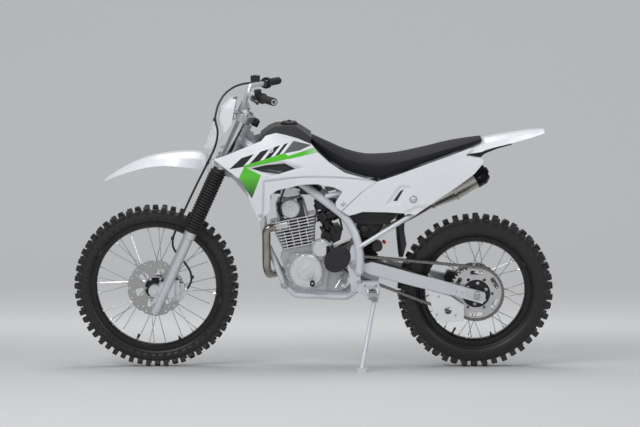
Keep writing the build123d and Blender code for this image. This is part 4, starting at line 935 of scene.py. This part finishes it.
def makeBellows():
    collar, bore = bellows["collar"], bellows["bore"]
    pitch = (bellows["high"] - bellows["low"] - 2 * collar) / bellows["ribs"]
    depth = bellows["peak"] - bellows["valley"]
    rib = [(bellows["valley"] + depth * math.sin(math.pi * n / 8) ** 0.7, pitch * n / 8) for n in range(9)]
    ribs = copiesOf("bellowsRibs", Shape().add(lathe(rib)), rubber, bellows["ribs"], 0.0, (0, 0, pitch), 60)
    foot = lathe([(bore, -collar), (26.5, -collar), (27.5, -9), (27.5, -2), (28.5, 0)])
    top = lathe([(28.5, 0), (27, 1), (27, 9), (26, collar), (bore, collar)])
    ends = Shape().add(foot).add(top, Matrix.Translation((0, 0, pitch * bellows["ribs"])))
    collars = makeMesh("bellowsEnds", ends, rubber, 40)
    parts = []
    for side in sides:
        place = headed(forkPoint(bellows["low"] + collar, bike["legAhead"], side * bike["legY"]), forkUp)
        parts += [(ribs, place), (collars, place)]
    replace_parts(placePiece("forkBellows", joinMeshes("forkBellows", parts), "steering"), "gaiters")


makeBellows()
print("bellows built")

# the seat's cover, in slices from front to rear
seatSize = {"stations": 72, "around": 44, "seamDepth": 1.6, "piping": 1.5, "puff": 0.44, "seam": 0.62,
            "drop": 0.42, "inset": 0.985}
seatRows = [  # station, half the width, underside and top
    (-20, 52, 975, 1004), (60, 78, 903, 966), (124, 90, 862, 938), (203, 98, 838, 918), (268, 106, 826, 917),
    (345, 110, 853, 923), (467, 108, 899, 948), (565, 98, 933, 972), (695, 62, 978, 995),
]


def seatAt(x):
    # the seat's half width, underside and top at a station, between the rows
    last = len(seatRows) - 1
    n = next((k for k in range(last) if x <= seatRows[k + 1][0]), last - 1)
    before, here, after, later = (seatRows[max(0, min(k, last))] for k in range(n - 1, n + 3))
    run = after[0] - here[0]
    t = (x - here[0]) / run
    smooth = []
    for k in (1, 3):
        slopeHere = (after[k] - before[k]) / (after[0] - before[0]) * run
        slopeAfter = (later[k] - here[k]) / (later[0] - here[0]) * run
        smooth.append((2 * t ** 3 - 3 * t ** 2 + 1) * here[k] + (t ** 3 - 2 * t ** 2 + t) * slopeHere
                      + (-2 * t ** 3 + 3 * t ** 2) * after[k] + (t ** 3 - t ** 2) * slopeAfter)
    return smooth[0], here[2] + (after[2] - here[2]) * t, smooth[1]


def seatSection(x, edge):
    # points round one slice, from the left foot over the top to the right foot; edge draws it in at the ends
    half, low, high = seatAt(x)
    half *= seatSize["inset"]
    drop = seatSize["drop"] * (high - low)
    points = []
    for n in range(seatSize["around"] + 1):
        share = 2 * n / seatSize["around"] - 1
        side, reach = (1 if share >= 0 else -1), abs(share)
        if reach > seatSize["seam"]:  # the side wall
            t = (reach - seatSize["seam"]) / (1 - seatSize["seam"])
            y = half * (1 - 0.07 * t * t)
            z = max(high - drop - (high - drop - low) * t, low + 0.5)
        else:  # the crown
            t = reach / seatSize["seam"]
            y = half * (0.55 * math.sin(t * math.pi / 2) + 0.45 * t)
            z = high - drop * (1 - math.cos(t * math.pi / 2)) ** 1.5
        seam = seatSize["seamDepth"] * math.exp(-((reach - 0.64) / 0.018) ** 2)
        bead = seatSize["piping"] * math.exp(-((reach - 0.60) / 0.018) ** 2)
        puff = seatSize["puff"] * math.sin(math.pi * min(reach / seatSize["seam"], 1))
        points.append(Vector((x, side * (y + bead - seam) * edge, z + puff - (1 - edge) * 8)))
    return points


def makeSeat():
    first, last = seatRows[0][0] + 1, seatRows[-1][0] - 1
    count, around = seatSize["stations"], seatSize["around"] + 1
    verts = []
    for n in range(count + 1):
        share = n / count
        edge = 1 - 0.09 * math.exp(-share * 40) - 0.16 * math.exp(-(1 - share) * 30)
        verts += seatSection(first + (last - first) * share, edge)
    ends = [list(range(around)), [count * around + k for k in range(around)][::-1]]
    shape = Shape().add((verts, gridFaces(count + 1, around) + ends))
    cover = makePiece("seatCover", shape, "chassis", seatVinyl, 50)
    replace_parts(cover, "seat")


makeSeat()
print("seat built")

# the bodywork's bolts, as x, z and size, with rims and washers round them
panelTrim = {"shroudBolts": [(-187, 955, 7), (-229, 684, 9), (114, 727, 9)], "panelBolts": [(408, 743.7, 8)],
             "washer": [(10.5, -0.5), (17, -0.5), (17, 0.8), (15.5, 1.8), (11.5, 1.8), (10.5, 1)]}


def placesOn(nodeName, points, sink=0.0):
    places = []
    for side in sides:
        for x, z, size in points:
            place, normal = surfaceAt(nodeName, x, z, side)
            places.append((place - normal * sink, normal, size))
    return places


def makePanelTrim():
    shroudPlaces = placesOn("shrouds", panelTrim["shroudBolts"], 0.3)
    panelPlaces = placesOn("side_panels", panelTrim["panelBolts"], 0.3)
    bolt("panelBolts", shroudPlaces + panelPlaces, socketBolt, "chassis", satinAlloy)
    rims, washers = Shape(), Shape()
    for place, normal, size in shroudPlaces:
        rims.band([(size + 1, -0.5), (size + 4, -0.5), (size + 4, 0.6), (size + 3, 1.2), (size + 1, 1.2)],
                  place, normal, 32)
    makePiece("boltRims", rims, "chassis", whiteFlat)
    for place, normal, _ in panelPlaces:
        washers.band(panelTrim["washer"], place, normal)
    makePiece("panelWashers", washers, "chassis", castAlloy)


makePanelTrim()


# engine trim
def bossRing(shape, centre, radius, degrees, yFoot, yTop, side, size):
    # cast lugs round a cover, and the places of the bolts in them
    places = []
    reach = abs(yTop - yFoot)
    for angle in degrees:
        place = sidePoint(radius, math.radians(angle), yFoot) + Vector((centre[0], 0, centre[1]))
        shape.turned([(0, 0), (size + 4, 0), (size + 3.4, reach - 1), (size + 2.4, reach), (0, reach)],
                     place, (0, side, 0), 20)
        places.append((Vector((place.x, yTop, place.z)), (0, side, 0), size))
    return places


def makeEngineTrim():
    bosses = Shape()
    bolts = bossRing(bosses, engine["stator"], 76, (15, 62, 118, 165, 210, 262, 318), -71, -86, -1, 4.6)
    bolts += bossRing(bosses, engine["starter"], 40, (25, 145, 268), -71, -83, -1, 4.2)
    bolts += bossRing(bosses, engine["clutch"], 78, (10, 55, 100, 150, 200, 245, 300, 340), 77, 92, 1, 4.8)
    bolts += bossRing(bosses, engine["cam"], 41, (60, 240), -46, -58, -1, 4.4)
    for x, z in ((-120, 400), (-104, 366), (-60, 352), (20, 352), (92, 352), (124, 402)):
        bolts.append((Vector((x, -71.6 if x < 40 else -48, z)), leftward, 4.6))
    # raised rings on the covers, with a filler on the stator's and a boss on the cam's
    x, z = engine["stator"]
    bosses.band([(57, 0), (62, 0), (61, 2.4), (58, 2.4)], (x, -102, z), leftward, 56)
    bosses.turned([(0, 0), (22, 0), (21, 3), (12, 3.4), (11, 1.6), (0, 1.6)], (x, -106, z), leftward)
    bosses.turned([(0, 0), (11, 0), (11, 5), (8, 6), (0, 6)], (x - 10, -96, z + 60), (0, -1, 0.2), 6)
    for key, radius, y in (("starter", 22, -90.2), ("cam", 24, -64.2)):
        x, z = engine[key]
        bosses.band([(radius, 0), (radius + 4, 0), (radius + 3.4, 1.8), (radius + 0.6, 1.8)],
                    (x, y, z), leftward)
    bosses.turned([(0, 0), (9, 0), (8, 4), (0, 4)], (x, -64.2, z), leftward, 24)
    # ribs that cross the crankcase, and the oil drain
    for start, end, endY in (((-118, 396), (60, 356), -47), ((-100, 372), (-20, 350), -70),
                             ((84, 356), (124, 420), -47)):
        bosses.rod([(start[0], -70, start[1]), (end[0], endY, end[1])], 3.2)
    bosses.turned([(0, 0), (13, 0), (13, 6), (9, 8), (9, 14), (0, 14)], (70, -46, 452), leftward, 6)
    makePiece("engineBosses", bosses, "chassis", coverAlloy)
    bolt("engineBolts", bolts, hexBolt, "chassis")


def makeHeadTrim():
    # upright ribs tie the fins on each side, and stays run from the head up to the spars
    metal = Shape()
    for side in sides:
        for low, high, aheads in ((6, 76, (-46, -16, 16, 46)), (80, 126, (-60, -20, 20, 60))):
            for ahead in aheads:
                metal.rod([enginePoint(low, ahead, side * 59.4), enginePoint(high, ahead, side * 59.4)], 2.2)
    metal.plates([(-150, 746), (-118, 742), (-70, 752), (-66, 776), (-100, 786), (-146, 782)], 52, 2.5, 0.8)
    for x, z in ((-128, 762), (-84, 766)):
        metal.rod([(x, -54, z), (x, 54, z)], 5, 12)
    makePiece("headStays", metal, "chassis", satinAlloy)
    # the spark plug's cap and its lead, up under the tank
    dark = Shape()
    plug, out = enginePoint(150, 40, -40), Vector((-0.35, -0.75, 0.55)).normalized()
    dark.turned([(0, 0), (9, 0), (9, 18), (11, 20), (11, 24), (8, 27), (7.5, 42), (6, 46), (0, 46)],
                plug, out, 20)
    lead = [plug + out * 40, plug + out * 58 + Vector((6, 4, 8)), (-122, -52, 800), (-92, -34, 826)]
    dark.rod(smoothPath(lead), 3.6, 10)
    makePiece("sparkLead", dark, "chassis", rubber)
    bolts = [(Vector((x, side * 54.6, z)), (0, side, 0), 5.2)
             for x, z in ((-140, 772), (-104, 778), (-74, 762)) for side in sides]
    bolts += [(enginePoint(215.5, ahead, y), engineUp, 4.4) for ahead in (-34, 34) for y in (-24, 24)]
    bolt("headBolts", bolts, hexBolt, "chassis")


guard = {"centre": Vector((92, 484)), "long": 62, "short": 50, "tilt": math.radians(46), "ribPitch": 13}


def makeGuardFace():
    # the sprocket guard's leaf-shaped face, with slanted ribs over it
    along = Vector(onCircle(1, guard["tilt"]))
    across = Vector((-along.y, along.x))
    outline = [tuple(guard["centre"] + along * (guard["long"] * math.cos(-angle))
                     + across * (guard["short"] * math.sin(-angle))) for angle in angles(36)]
    face = Shape().plate(outline, -100, -95.8, 1.6)
    for n in range(-3, 4):
        offset = n * guard["ribPitch"]
        reach = guard["long"] * math.sqrt(1 - (offset / guard["short"]) ** 2) - 9
        ends = [guard["centre"] + across * offset + along * (side * reach) for side in sides]
        face.rod([(spot.x, -100, spot.y) for spot in ends], 2.6)
    makePiece("guardFace", face, "chassis", blackPlastic)


intake = {
    "turned": [  # profile, place, heading and segments: carburettor cap and fitting, starter motor, box cap
        ([(0, 0), (16, 0), (18, 3), (18, 9), (14, 12), (0, 12)], (32, -30, 655), leftward, 32),
        ([(0, 0), (6, 0), (6, 16), (4.5, 18), (4.5, 24), (0, 24)], (24, -28, 634), (0.2, -1, -0.1), 16),
        ([(0, 0), (20, 0), (24, 4), (25, 14), (25, 60), (23, 64), (23, 78), (17, 84), (0, 84)],
         (46, -44, 566), rightward, 40),
        ([(0, 0), (13, 0), (15, 2), (15, 20), (11, 22), (0, 22)], (206, -46, 606), leftward, 28),
    ],
    "plates": [  # outline, both ys and chamfer: coil, bracket, a black sheet over the head for its black parts and painted shade under the tank, box below the airbox and its lid
        ([(62, 610), (92, 620), (112, 596), (104, 556), (72, 540), (58, 566)], -40, 40, 4),
        ([(-8, 720), (44, 724), (64, 706), (60, 684), (4, 684)], -34, 30, 4),
        # black parts and painted shade: a dark sheet over the head where the tank's underside lies in shadow
        ([(-206, 754), (-184, 806), (-40, 812), (26, 776), (12, 748)], -36, 36, 5),
        ([(168, 636), (214, 664), (296, 640), (268, 588), (236, 562), (196, 566)], -46, 46, 8),
        ([(226, 600), (262, 622), (274, 612), (240, 588)], -54, -46, 1.5),
    ],
    "hoses": [
        [(30, -36, 676), (44, -44, 700), (66, -50, 716), (88, -48, 722)],
        [(20, -24, 612), (30, -38, 590), (52, -46, 562), (74, -46, 520), (92, -50, 496)],
        [(-6, -30, 706), (8, -46, 676), (26, -48, 646), (60, -46, 618), (88, -42, 590)],
        [(64, -38, 706), (92, -50, 676), (104, -50, 640), (112, -48, 600)],
    ],
}


def makeIntakeTrim():
    # behind the cylinder, with clips on the first two hoses
    dark = Shape()
    for part in intake["turned"]:
        dark.turned(*part)
    for part in intake["plates"]:
        dark.plate(*part)
    for hose in intake["hoses"]:
        dark.rod(smoothPath(hose), 4.6, 10)
    for first, second, *_ in intake["hoses"][:2]:
        first, second = Vector(first), Vector(second)
        dark.band([(4.6, 0), (6.6, 0), (6.6, 4), (4.6, 4)], first.lerp(second, 0.15), second - first, 16)
    makePiece("intakeFittings", dark, "chassis", blackPlastic)


makeEngineTrim()
makeHeadTrim()
makeGuardFace()
makeIntakeTrim()
print("engine trimmed")


# frame, swingarm, foot and stand trim
def makeFrameTrim():
    nuts, bolts = Shape(), []
    for side in sides:
        out = (0, side, 0)
        # the pivot's stepped nut; the axle's washer, nut and adjuster
        nuts.turned([(0, 0), (16, 0), (16, 3), (14.5, 5), (11, 5), (11, 9), (9, 11), (4.5, 11), (4, 6),
                     (0, 6)], (157.5, side * 106.2, 462), out)
        foot = rearAxle + Vector((0, side * 110.2, 0))
        nuts.band([(9.4, 0), (19, 0), (19, 2.4), (17, 3), (9.4, 3)], foot, out, 32)
        nuts.add(hexagon(15, 3, 13, 1.2), headed(foot, out))
        nuts.rod([rearAxle + Vector((34, side * 98, -9)), rearAxle + Vector((36.5, side * 98, -9.4))], 8, 6)
        for reach in (38, 62, 86):
            bolts.append((rearAxle + Vector((-reach, side * 110, 0.21 * reach)), out, 3.6))
        for x, z in ((206, 380), (254, 380), (226, 322)):
            bolts.append((Vector((x, side * 132, z)), out, 5.2))
        for nodeName, x, z, size in (("main_frame", 178, 388, 6.2), ("subframe", 196, 540, 5.6),
                                     ("main_frame", -60, 805, 5.0)):
            bolts.append((*surfaceAt(nodeName, x, z, side), size))
        # the engine's lower mount
        nuts.turned([(0, 0), (15, 0), (15, 8), (11, 11), (0, 11)], (-134, side * 62, 367), out, 28)
    makePiece("pivotNuts", nuts, "chassis", zincPlate)
    bolt("frameBolts", bolts, hexBolt, "chassis")
    # weld beads round the tubes' joints
    welds = Shape()
    for place, way in (((-226, 0, 656), (19, 0, -156)), ((-207, 0, 515), (0, 0, -1))):
        welds.band([(14.6, -2), (16.4, -1.4), (17.0, 0), (16.4, 1.4), (14.6, 2)], place, way, 36)
    for side in sides:
        welds.band([(10, -1.6), (11.6, -1), (12, 0), (11.6, 1), (10, 1.6)], (188, side * 106, 545),
                   (225, -side * 21, 150), 30)
    makePiece("frameWelds", welds, "chassis", framePaint)


def makeSwingarmTrim():
    # the chain's rubbing strip and the guide's inner block, then the axle's end plates and the guide's bolts
    dark = Shape()
    dark.plate([(206, 476), (236, 478), (300, 462), (420, 428), (420, 421), (300, 452), (232, 468),
                (206, 462)], -82, -56, 1.2)
    dark.plate([(500, 250), (520, 228), (616, 236), (612, 248), (528, 244), (512, 262)], -86, -50, 1.2)
    makePiece("chainStrip", dark, "chassis", blackPlastic)
    outline = [(-46, 17), (-40, 22), (26, 8), (30, 2), (22, -14), (14, -17), (-40, -2), (-46, 4)]
    blocks = Shape().plates(outline, 112.4, 2.4, 0.8, Matrix.Translation(rearAxle))
    makePiece("axleBlocks", blocks, "chassis", brushedAlloy)
    bolts = [(rearAxle + Vector((x, -96.2, z)), leftward, 4.6)
             for x, z in ((-160, -6), (-88, -88), (-168, -84))]
    bolt("guideBolts", bolts, socketBolt, "chassis")


def spring(start, step, radius, across, turns):
    # a coil's path, ten points to the turn, moved on by a step at each
    path = []
    for n in range(10 * turns + 1):
        flat, up = onCircle(radius, n * 2 * math.pi / 10)
        path.append(Vector(start) + Vector(step) * n + Vector(across) * flat + Vector((0, 0, up)))
    return path


def makeFootTrim():
    # the shift lever's ribbed rubber; the pedal's spring and rod; the springs and pins behind the pegs
    ribs = [(10.4 if n % 2 else 9.0, -23 + n * 2.9) for n in range(17)]
    lever = Shape().band([(7.2, -24)] + ribs + [(7.2, 24)], (-14, -143, 390), rightward, 24)
    makePiece("shiftRubber", lever, "chassis", rubber)
    metal = Shape()
    metal.rod(spring((150, 112, 398), (0.3, 0, 0), 5, (0, 1, 0), 16), 1.0, 6)
    metal.rod([(166, 112, 372), (176, 112, 398), (198, 112, 402)], 3)
    for side in sides:
        metal.rod(spring((238, side * 133, 362), (0, side * 0.12, 0), 7.5, (1, 0, 0), 12), 1.2, 6)
        metal.rod([(238, side * 126, 362), (238, side * 152, 362)], 5, 16)
    makePiece("footSprings", metal, "chassis", zincPlate)


stand = {"foot": (190, -312), "hinge": 14, "padTop": 16.2, "ribHalf": 17, "ribPitch": 10}


def makeStandTrim():
    # the pivot's nut and washer, and ribs on the foot's pad, which lies level when parked
    joint = jointByName["side_stand_fold"]
    pivot = park.inverted() @ Vector(joint["pos_m"])
    axis = (leanTurn.inverted() @ Vector(joint["axis"])).normalized()
    nut = Shape().turned([(0, 0), (11, 0), (11, 3), (9, 4), (9, 10), (0, 10)], pivot + axis * 9.2, axis, 6)
    nut.turned([(0, 0), (11.5, 0), (11.5, 2), (0, 2)], pivot + axis * 7.2, axis, 24)
    makePiece("standNut", nut, "chassis", zincPlate)
    pad = Shape()
    x, y = stand["foot"]
    foot = Vector((x, y, (-y - stand["hinge"]) * math.tan(bike["lean"])))
    foot += Vector((0, math.sin(bike["lean"]), math.cos(bike["lean"]))) * stand["padTop"]
    for n in range(-2, 3):
        ends = [foot + Vector((n * stand["ribPitch"], side * stand["ribHalf"], 0)) for side in sides]
        pad.rod(ends, 1.6, 6)
    makePiece("standPadRibs", pad, "side_stand", framePaint)


makeFrameTrim()
makeSwingarmTrim()
makeFootTrim()
makeStandTrim()
print("frame trimmed")

# fork, brake and bars
bars = {"rise": Vector((-282, 150, 1190)), "end": Vector((-165, 410, 1186)), "grip": 120, "gripRadius": 15.5,
        "ridges": 22}
fork = {"clampFace": 26.6, "clampIn": 14, "clampHeights": (803, 833, 602, 622), "cap": 846.2,
        "axleNutY": 119.2}


def barPlace(side, back):
    # a place on the bar, measured in from its end, and the way inwards
    mirror = Vector((1, side, 1))
    way = (bars["rise"] * mirror - bars["end"] * mirror).normalized()
    return bars["end"] * mirror + way * back, way


def makeForkTrim():
    # the legs' caps and the axle's nuts, then the clamps' and caliper's bolts
    metal, bolts = Shape(), []
    for side in sides:
        y, out = side * bike["legY"], (0, side, 0)
        metal.turned([(0, 0), (18.4, 0), (18.4, 5), (17, 7), (12, 7), (11, 10), (0, 10)],
                     forkPoint(fork["cap"], bike["legAhead"], y), forkUp, 36)
        metal.add(hexagon(9, 0, 6, 1), headed(forkPoint(fork["cap"] + 8.8, bike["legAhead"], y), forkUp))
        place = frontAxle + Vector((0, side * fork["axleNutY"], 0))
        metal.add(hexagon(12, -1, 7, 1.2), headed(place, out))
        metal.band([(8.6, -3), (15, -3), (15, -1), (8.6, -1)], place, out, 28)
        for height in fork["clampHeights"]:
            face = bike["legAhead"] + fork["clampFace"]
            bolts.append((forkPoint(height, face, y - side * fork["clampIn"]), forkAhead, 5.4))
        for ahead in (28, 50):
            bolts.append((forkPoint(870.6, ahead, side * 45), forkUp, 4.8))
        bolts.append((frontAxle + Vector((24.6, side * 96, -6)), (1, 0, -0.3), 4.6))
    bolts.append((forkPoint(837.6), forkUp, 13))
    makePiece("forkCaps", metal, "steering", satinAlloy)
    bolts += [(Vector((frontAxle.x + x, -93.2, frontAxle.z + z)), leftward, 5.2)
              for x, z in ((64, 4), (70, 36))]
    bolt("forkBolts", bolts, hexBolt, "steering")


hoseClips = [((-602, -91, 574), (-0.2, 0.1, -1)), ((-419, -112, 1078), (-0.2, -0.4, -1)),
             ((-450, -116, 897), (-0.45, 0, -1)), ((-523, -60.6, 400), (0, 0, -1))]


def makeBrakeTrim():
    # the hose's banjo bolt, the caliper's plugs and pins, and the hose's clips
    metal = Shape()
    metal.turned([(0, 0), (9, 0), (9, 3), (7, 4), (7, 9), (0, 9)], frontAxle + Vector((132, -71.2, -5)),
                 leftward, 6)
    for x, z in ((96, -32), (102, 0)):
        plug = frontAxle + Vector((x, -75.1, z))
        metal.band([(7, 0), (11.4, 0), (11, 1.6), (7.6, 1.6)], plug, leftward, 28)
    for x, z in ((80, -12), (118, -30)):
        metal.rod([frontAxle + Vector((x, y, z)) for y in (-70, -28)], 3.6, 12)
    makePiece("caliperPins", metal, "steering", brightSteel)
    dark = Shape()
    for place, way in hoseClips:
        dark.band([(4.6, -6), (6.6, -6), (7.0, -5), (7.0, 5), (6.6, 6), (4.6, 6)], place, way, 20)
    makePiece("hoseClips", dark, "steering", blackPlastic)


podOutline = [(-17, -15), (-8, -19), (10, -19), (17, -12), (17, 10), (8, 18), (-8, 18), (-17, 10)]
lidOutline = [(-17, -23), (17, -23), (19, -21), (19, 21), (17, 23), (-17, 23), (-19, 21), (-19, -21)]


def makeBarTrim():
    # ribs round each grip and a switch pod beside it, the left perch's clamp and the throttle's housing
    dark = Shape()
    count, radius = bars["ridges"], bars["gripRadius"]
    pitch = (bars["grip"] - 14) / count
    rows = [(13, 0), (radius - 0.6, 0)]
    for n in range(count):
        rows += [(radius + rise, (n + share) * pitch)
                 for rise, share in ((0.9, 0.3), (0.9, 0.6), (-0.4, 0.8), (-0.4, 1.0))]
    rows.append((13, count * pitch))
    for side, podBack, podFoot, podTop in ((-1, 128, -9, 11), (1, 124, -2, 8)):
        dark.band(rows, *barPlace(side, 4), 28)
        dark.add(prism(podOutline, podFoot, podTop, 2), headed(*barPlace(side, podBack), 0.4))
    perch, _ = barPlace(-1, 150)
    dark.turned([(0, 0), (14, 0), (15, 3), (15, 20), (12, 24), (0, 24)], perch + Vector((-6, 0, 10)),
                (-0.1, 0, 1), 28)
    dark.turned([(16.5, -10), (24, -10), (25, -8), (25, 6), (24, 8), (16.5, 8)], *barPlace(1, 124), 32)
    makePiece("gripRibs", dark, "steering", rubber)
    # the reservoir's lid with its screws, and the levers' bolts
    lid = barPlace(1, 148)[0] + Vector((-36.3, -23, 34.6))
    makePiece("reservoirLid", Shape().add(prism(lidOutline, 0, 3, 0.6), Matrix.Translation(lid)), "steering",
              blackPlastic)
    bolts = [(lid + Vector((x, y, 3)), (0, 0, 1), 3.2) for x in (-12, 12) for y in (-16, 16)]
    for side in sides:
        place, _ = barPlace(side, 148)
        bolts.append((place + Vector((-34, 0, 10)), (0, 0, 1), 5.0))
        bolts.append((place + Vector((13, 0, 10.5)), (0.4, 0, 0.9), 3.6))
    bolt("leverBolts", bolts, socketBolt, "steering")
    # the key switch behind the upper clamp
    switch = Shape().turned([(0, 0), (15, 0), (16, 2), (16, 26), (14, 30), (9, 31), (8, 34), (0, 34)],
                            forkPoint(800, -34), forkUp, 32)
    makePiece("keySwitch", switch, "steering", blackPlastic)


makeForkTrim()
makeBrakeTrim()
makeBarTrim()
print("fork and bars trimmed")

# silencer, tank cap, plate and lower trim
tankCap = {"centre": Vector((-112, 0, 1058)), "ribs": 16, "ribRadius": 2.6}
rearTrim = {
    "lip": [(352, 712), (370, 712), (376, 660), (374, 600), (384, 540), (371, 488), (352, 488), (344, 560),
            (346, 640)],
    "strip": [(632, 925), (700, 938), (822, 979), (820, 967), (760, 950), (706, 928), (690, 913)],
    "plateBolts": [(-456, 976, 4.2), (-436, 1040, 4.2)],
}


def makeExhaustTrim():
    # the joint's clamp, the can's band and its lug, the outlet inside the cap, and the bolts
    metal = Shape()
    way, foot = can["way"], can["foot"] + can["way"] * 0.3
    for profile, segments in (
        ([(21.2, 2), (25, 2), (25.6, 4), (25.6, 16), (25, 18), (21.2, 18)], 40),
        ([(48.2, 112), (50.4, 112.4), (50.8, 116), (50.4, 120.6), (48.2, 121)], 56),
        ([(12, 270), (15, 270), (15, 290), (14.2, 291), (12.8, 291), (12, 290)], 32),
    ):
        metal.band(profile, foot, way, segments)
    lugFoot = foot + way * 116 + way.cross(Vector((0, 0, 1))).normalized() * 46
    metal.rod([lugFoot + Vector((0, 0, z)) for z in (-8, 14)], 5, 12)
    makePiece("exhaustClamps", metal, "chassis", stainless)
    turn, bolts = headed(foot, way), []
    for angle in angles(8):
        out = Vector((*onCircle(1, angle), 0))
        bolts.append((turn @ (out * 50 + Vector((0, 0, 240))), turn.to_3x3() @ out, 2.8))
    for angle in (40, 220):
        out = sidePoint(1, math.radians(angle), 0).yxz
        bolts.append((enginePoint(103, 84.3, -38) + out * 20, engineAhead, 4.0))
    bolt("exhaustBolts", bolts, socketBolt, "chassis")


def makeTankTrim():
    # grip ribs round the cap
    dark, centre = Shape(), tankCap["centre"]
    for angle in angles(tankCap["ribs"]):
        path = [centre + Vector((*onCircle(radius, angle), z)) for radius, z in ((33, -12), (32.4, -5))]
        dark.rod(path, tankCap["ribRadius"])
    dark.add(lathe([(0, 0), (7, 0), (7, 4), (4, 6), (0, 6)], 20), Matrix.Translation(centre))
    makePiece("capRibs", dark, "chassis", blackPlastic)


def makeRearTrim():
    # the flap's lips ahead of the rear tyre and the strips under the fender, then the plate's bolts
    dark = Shape().plates(rearTrim["lip"], 51, 3, 1).plates(rearTrim["strip"], 62, 4, 1.5)
    makePiece("fenderStrips", dark, "chassis", blackPlastic)
    cap = Shape().turned([(0, 0), (8, 0), (9, 2), (9, 10), (6, 13), (0, 13)], (284, -60, 548),
                         (0.75, 0, 0.66), 20)
    makePiece("reservoirCap", cap, "chassis", redCap)
    bolts = [place for point in rearTrim["plateBolts"] for place in placesOn("number_plate", [point])]
    bolt("plateBolts", bolts, socketBolt, "steering", satinAlloy)


makeExhaustTrim()
makeTankTrim()
makeRearTrim()
print("exhaust, tank and rear trimmed")

# the studio, in metres
studio = {"floorHalf": 20, "backdropAt": 13, "corner": 4, "height": 12, "tone": 0.64,
          "lift": (0.4, 3.6, 0.0, 0.27), "lens": 106, "distance": 8, "aim": Vector((18, 0, 663))}
lamps = {  # place, aim, size and power
    "keyPanel": ((-2.4, -4.8, 3.6), (0, 0, 0.6), (3.0, 1.8), 165),
    "topPanel": ((0.3, 0.2, 4.4), (0, 0, 0.4), (5.0, 2.4), 96),
    "fillPanel": ((4.4, -4.2, 1.8), (0, 0, 0.6), (2.2, 1.6), 46),
}


def makeStudio():
    wide, corner = studio["floorHalf"], studio["corner"]
    bendAt = studio["backdropAt"] - corner
    rows = [(-wide, 0.0), (bendAt, 0.0)]
    for step in range(1, 13):
        angle = math.radians(90 * step / 12)
        rows.append((bendAt + corner * math.sin(angle), corner * (1 - math.cos(angle))))
    rows.append((studio["backdropAt"], studio["height"]))
    mesh = bpy.data.meshes.new("studio")
    mesh.from_pydata([(x, y, z) for y, z in rows for x in (-wide, wide)], [],
                     [(2 * n, 2 * n + 1, 2 * n + 3, 2 * n + 2) for n in range(len(rows) - 1)])
    mesh.shade_smooth()
    backdrop = linked("studio", mesh)
    paper = finish("studioPaper", (studio["tone"],) * 3, 0.8, 0, 0.02, 0.05, 2, 0.0)
    # the far paper is paler to the eye and in reflections, and lights nothing
    tree = paper.node_tree
    rays = addNode(tree, "ShaderNodeLightPath").outputs
    seen = mathOf(tree, "ADD", rays["Is Camera Ray"], rays["Is Glossy Ray"])
    seen = mathOf(tree, "ADD", seen, rays["Is Transmission Ray"])
    depth = splitOf(tree, objectPlace(tree))["Y"]
    far = rangeOf(tree, depth, *studio["lift"], interpolation_type="SMOOTHSTEP")
    setInputs(tree, tree.nodes["Principled BSDF"], {
        "Emission Strength": mathOf(tree, "MULTIPLY", seen, far), "Emission Color": (0.97, 0.98, 1, 1)})
    mesh.materials.append(paper)


makeStudio()
for name, (place, aim, size, power) in lamps.items():
    lampData = bpy.data.lights.new(name, "AREA")
    lampData.shape = "RECTANGLE"
    lampData.size, lampData.size_y = size
    lampData.energy = power
    lamp = linked(name, lampData)
    lamp.location = place
    lamp.rotation_euler = (Vector(aim) - Vector(place)).to_track_quat("-Z", "Y").to_euler()
world = bpy.data.worlds.new("studioAir")
world.use_nodes = True
setInputs(world.node_tree, world.node_tree.nodes["Background"],
          {"Color": (0.88, 0.92, 0.97, 1), "Strength": 0.3})
bpy.context.scene.world = world
bpy.context.scene.view_settings.view_transform = "Standard"

cameraData = bpy.data.cameras.new("sideCamera")
cameraData.lens = studio["lens"]
cameraData.clip_end = 60
camera = linked("sideCamera", cameraData)
middle = park @ studio["aim"]
camera.location = (middle.x, middle.y - studio["distance"], middle.z)
camera.rotation_euler = (math.radians(90), 0, 0)
bpy.context.scene.camera = camera
print("studio set")
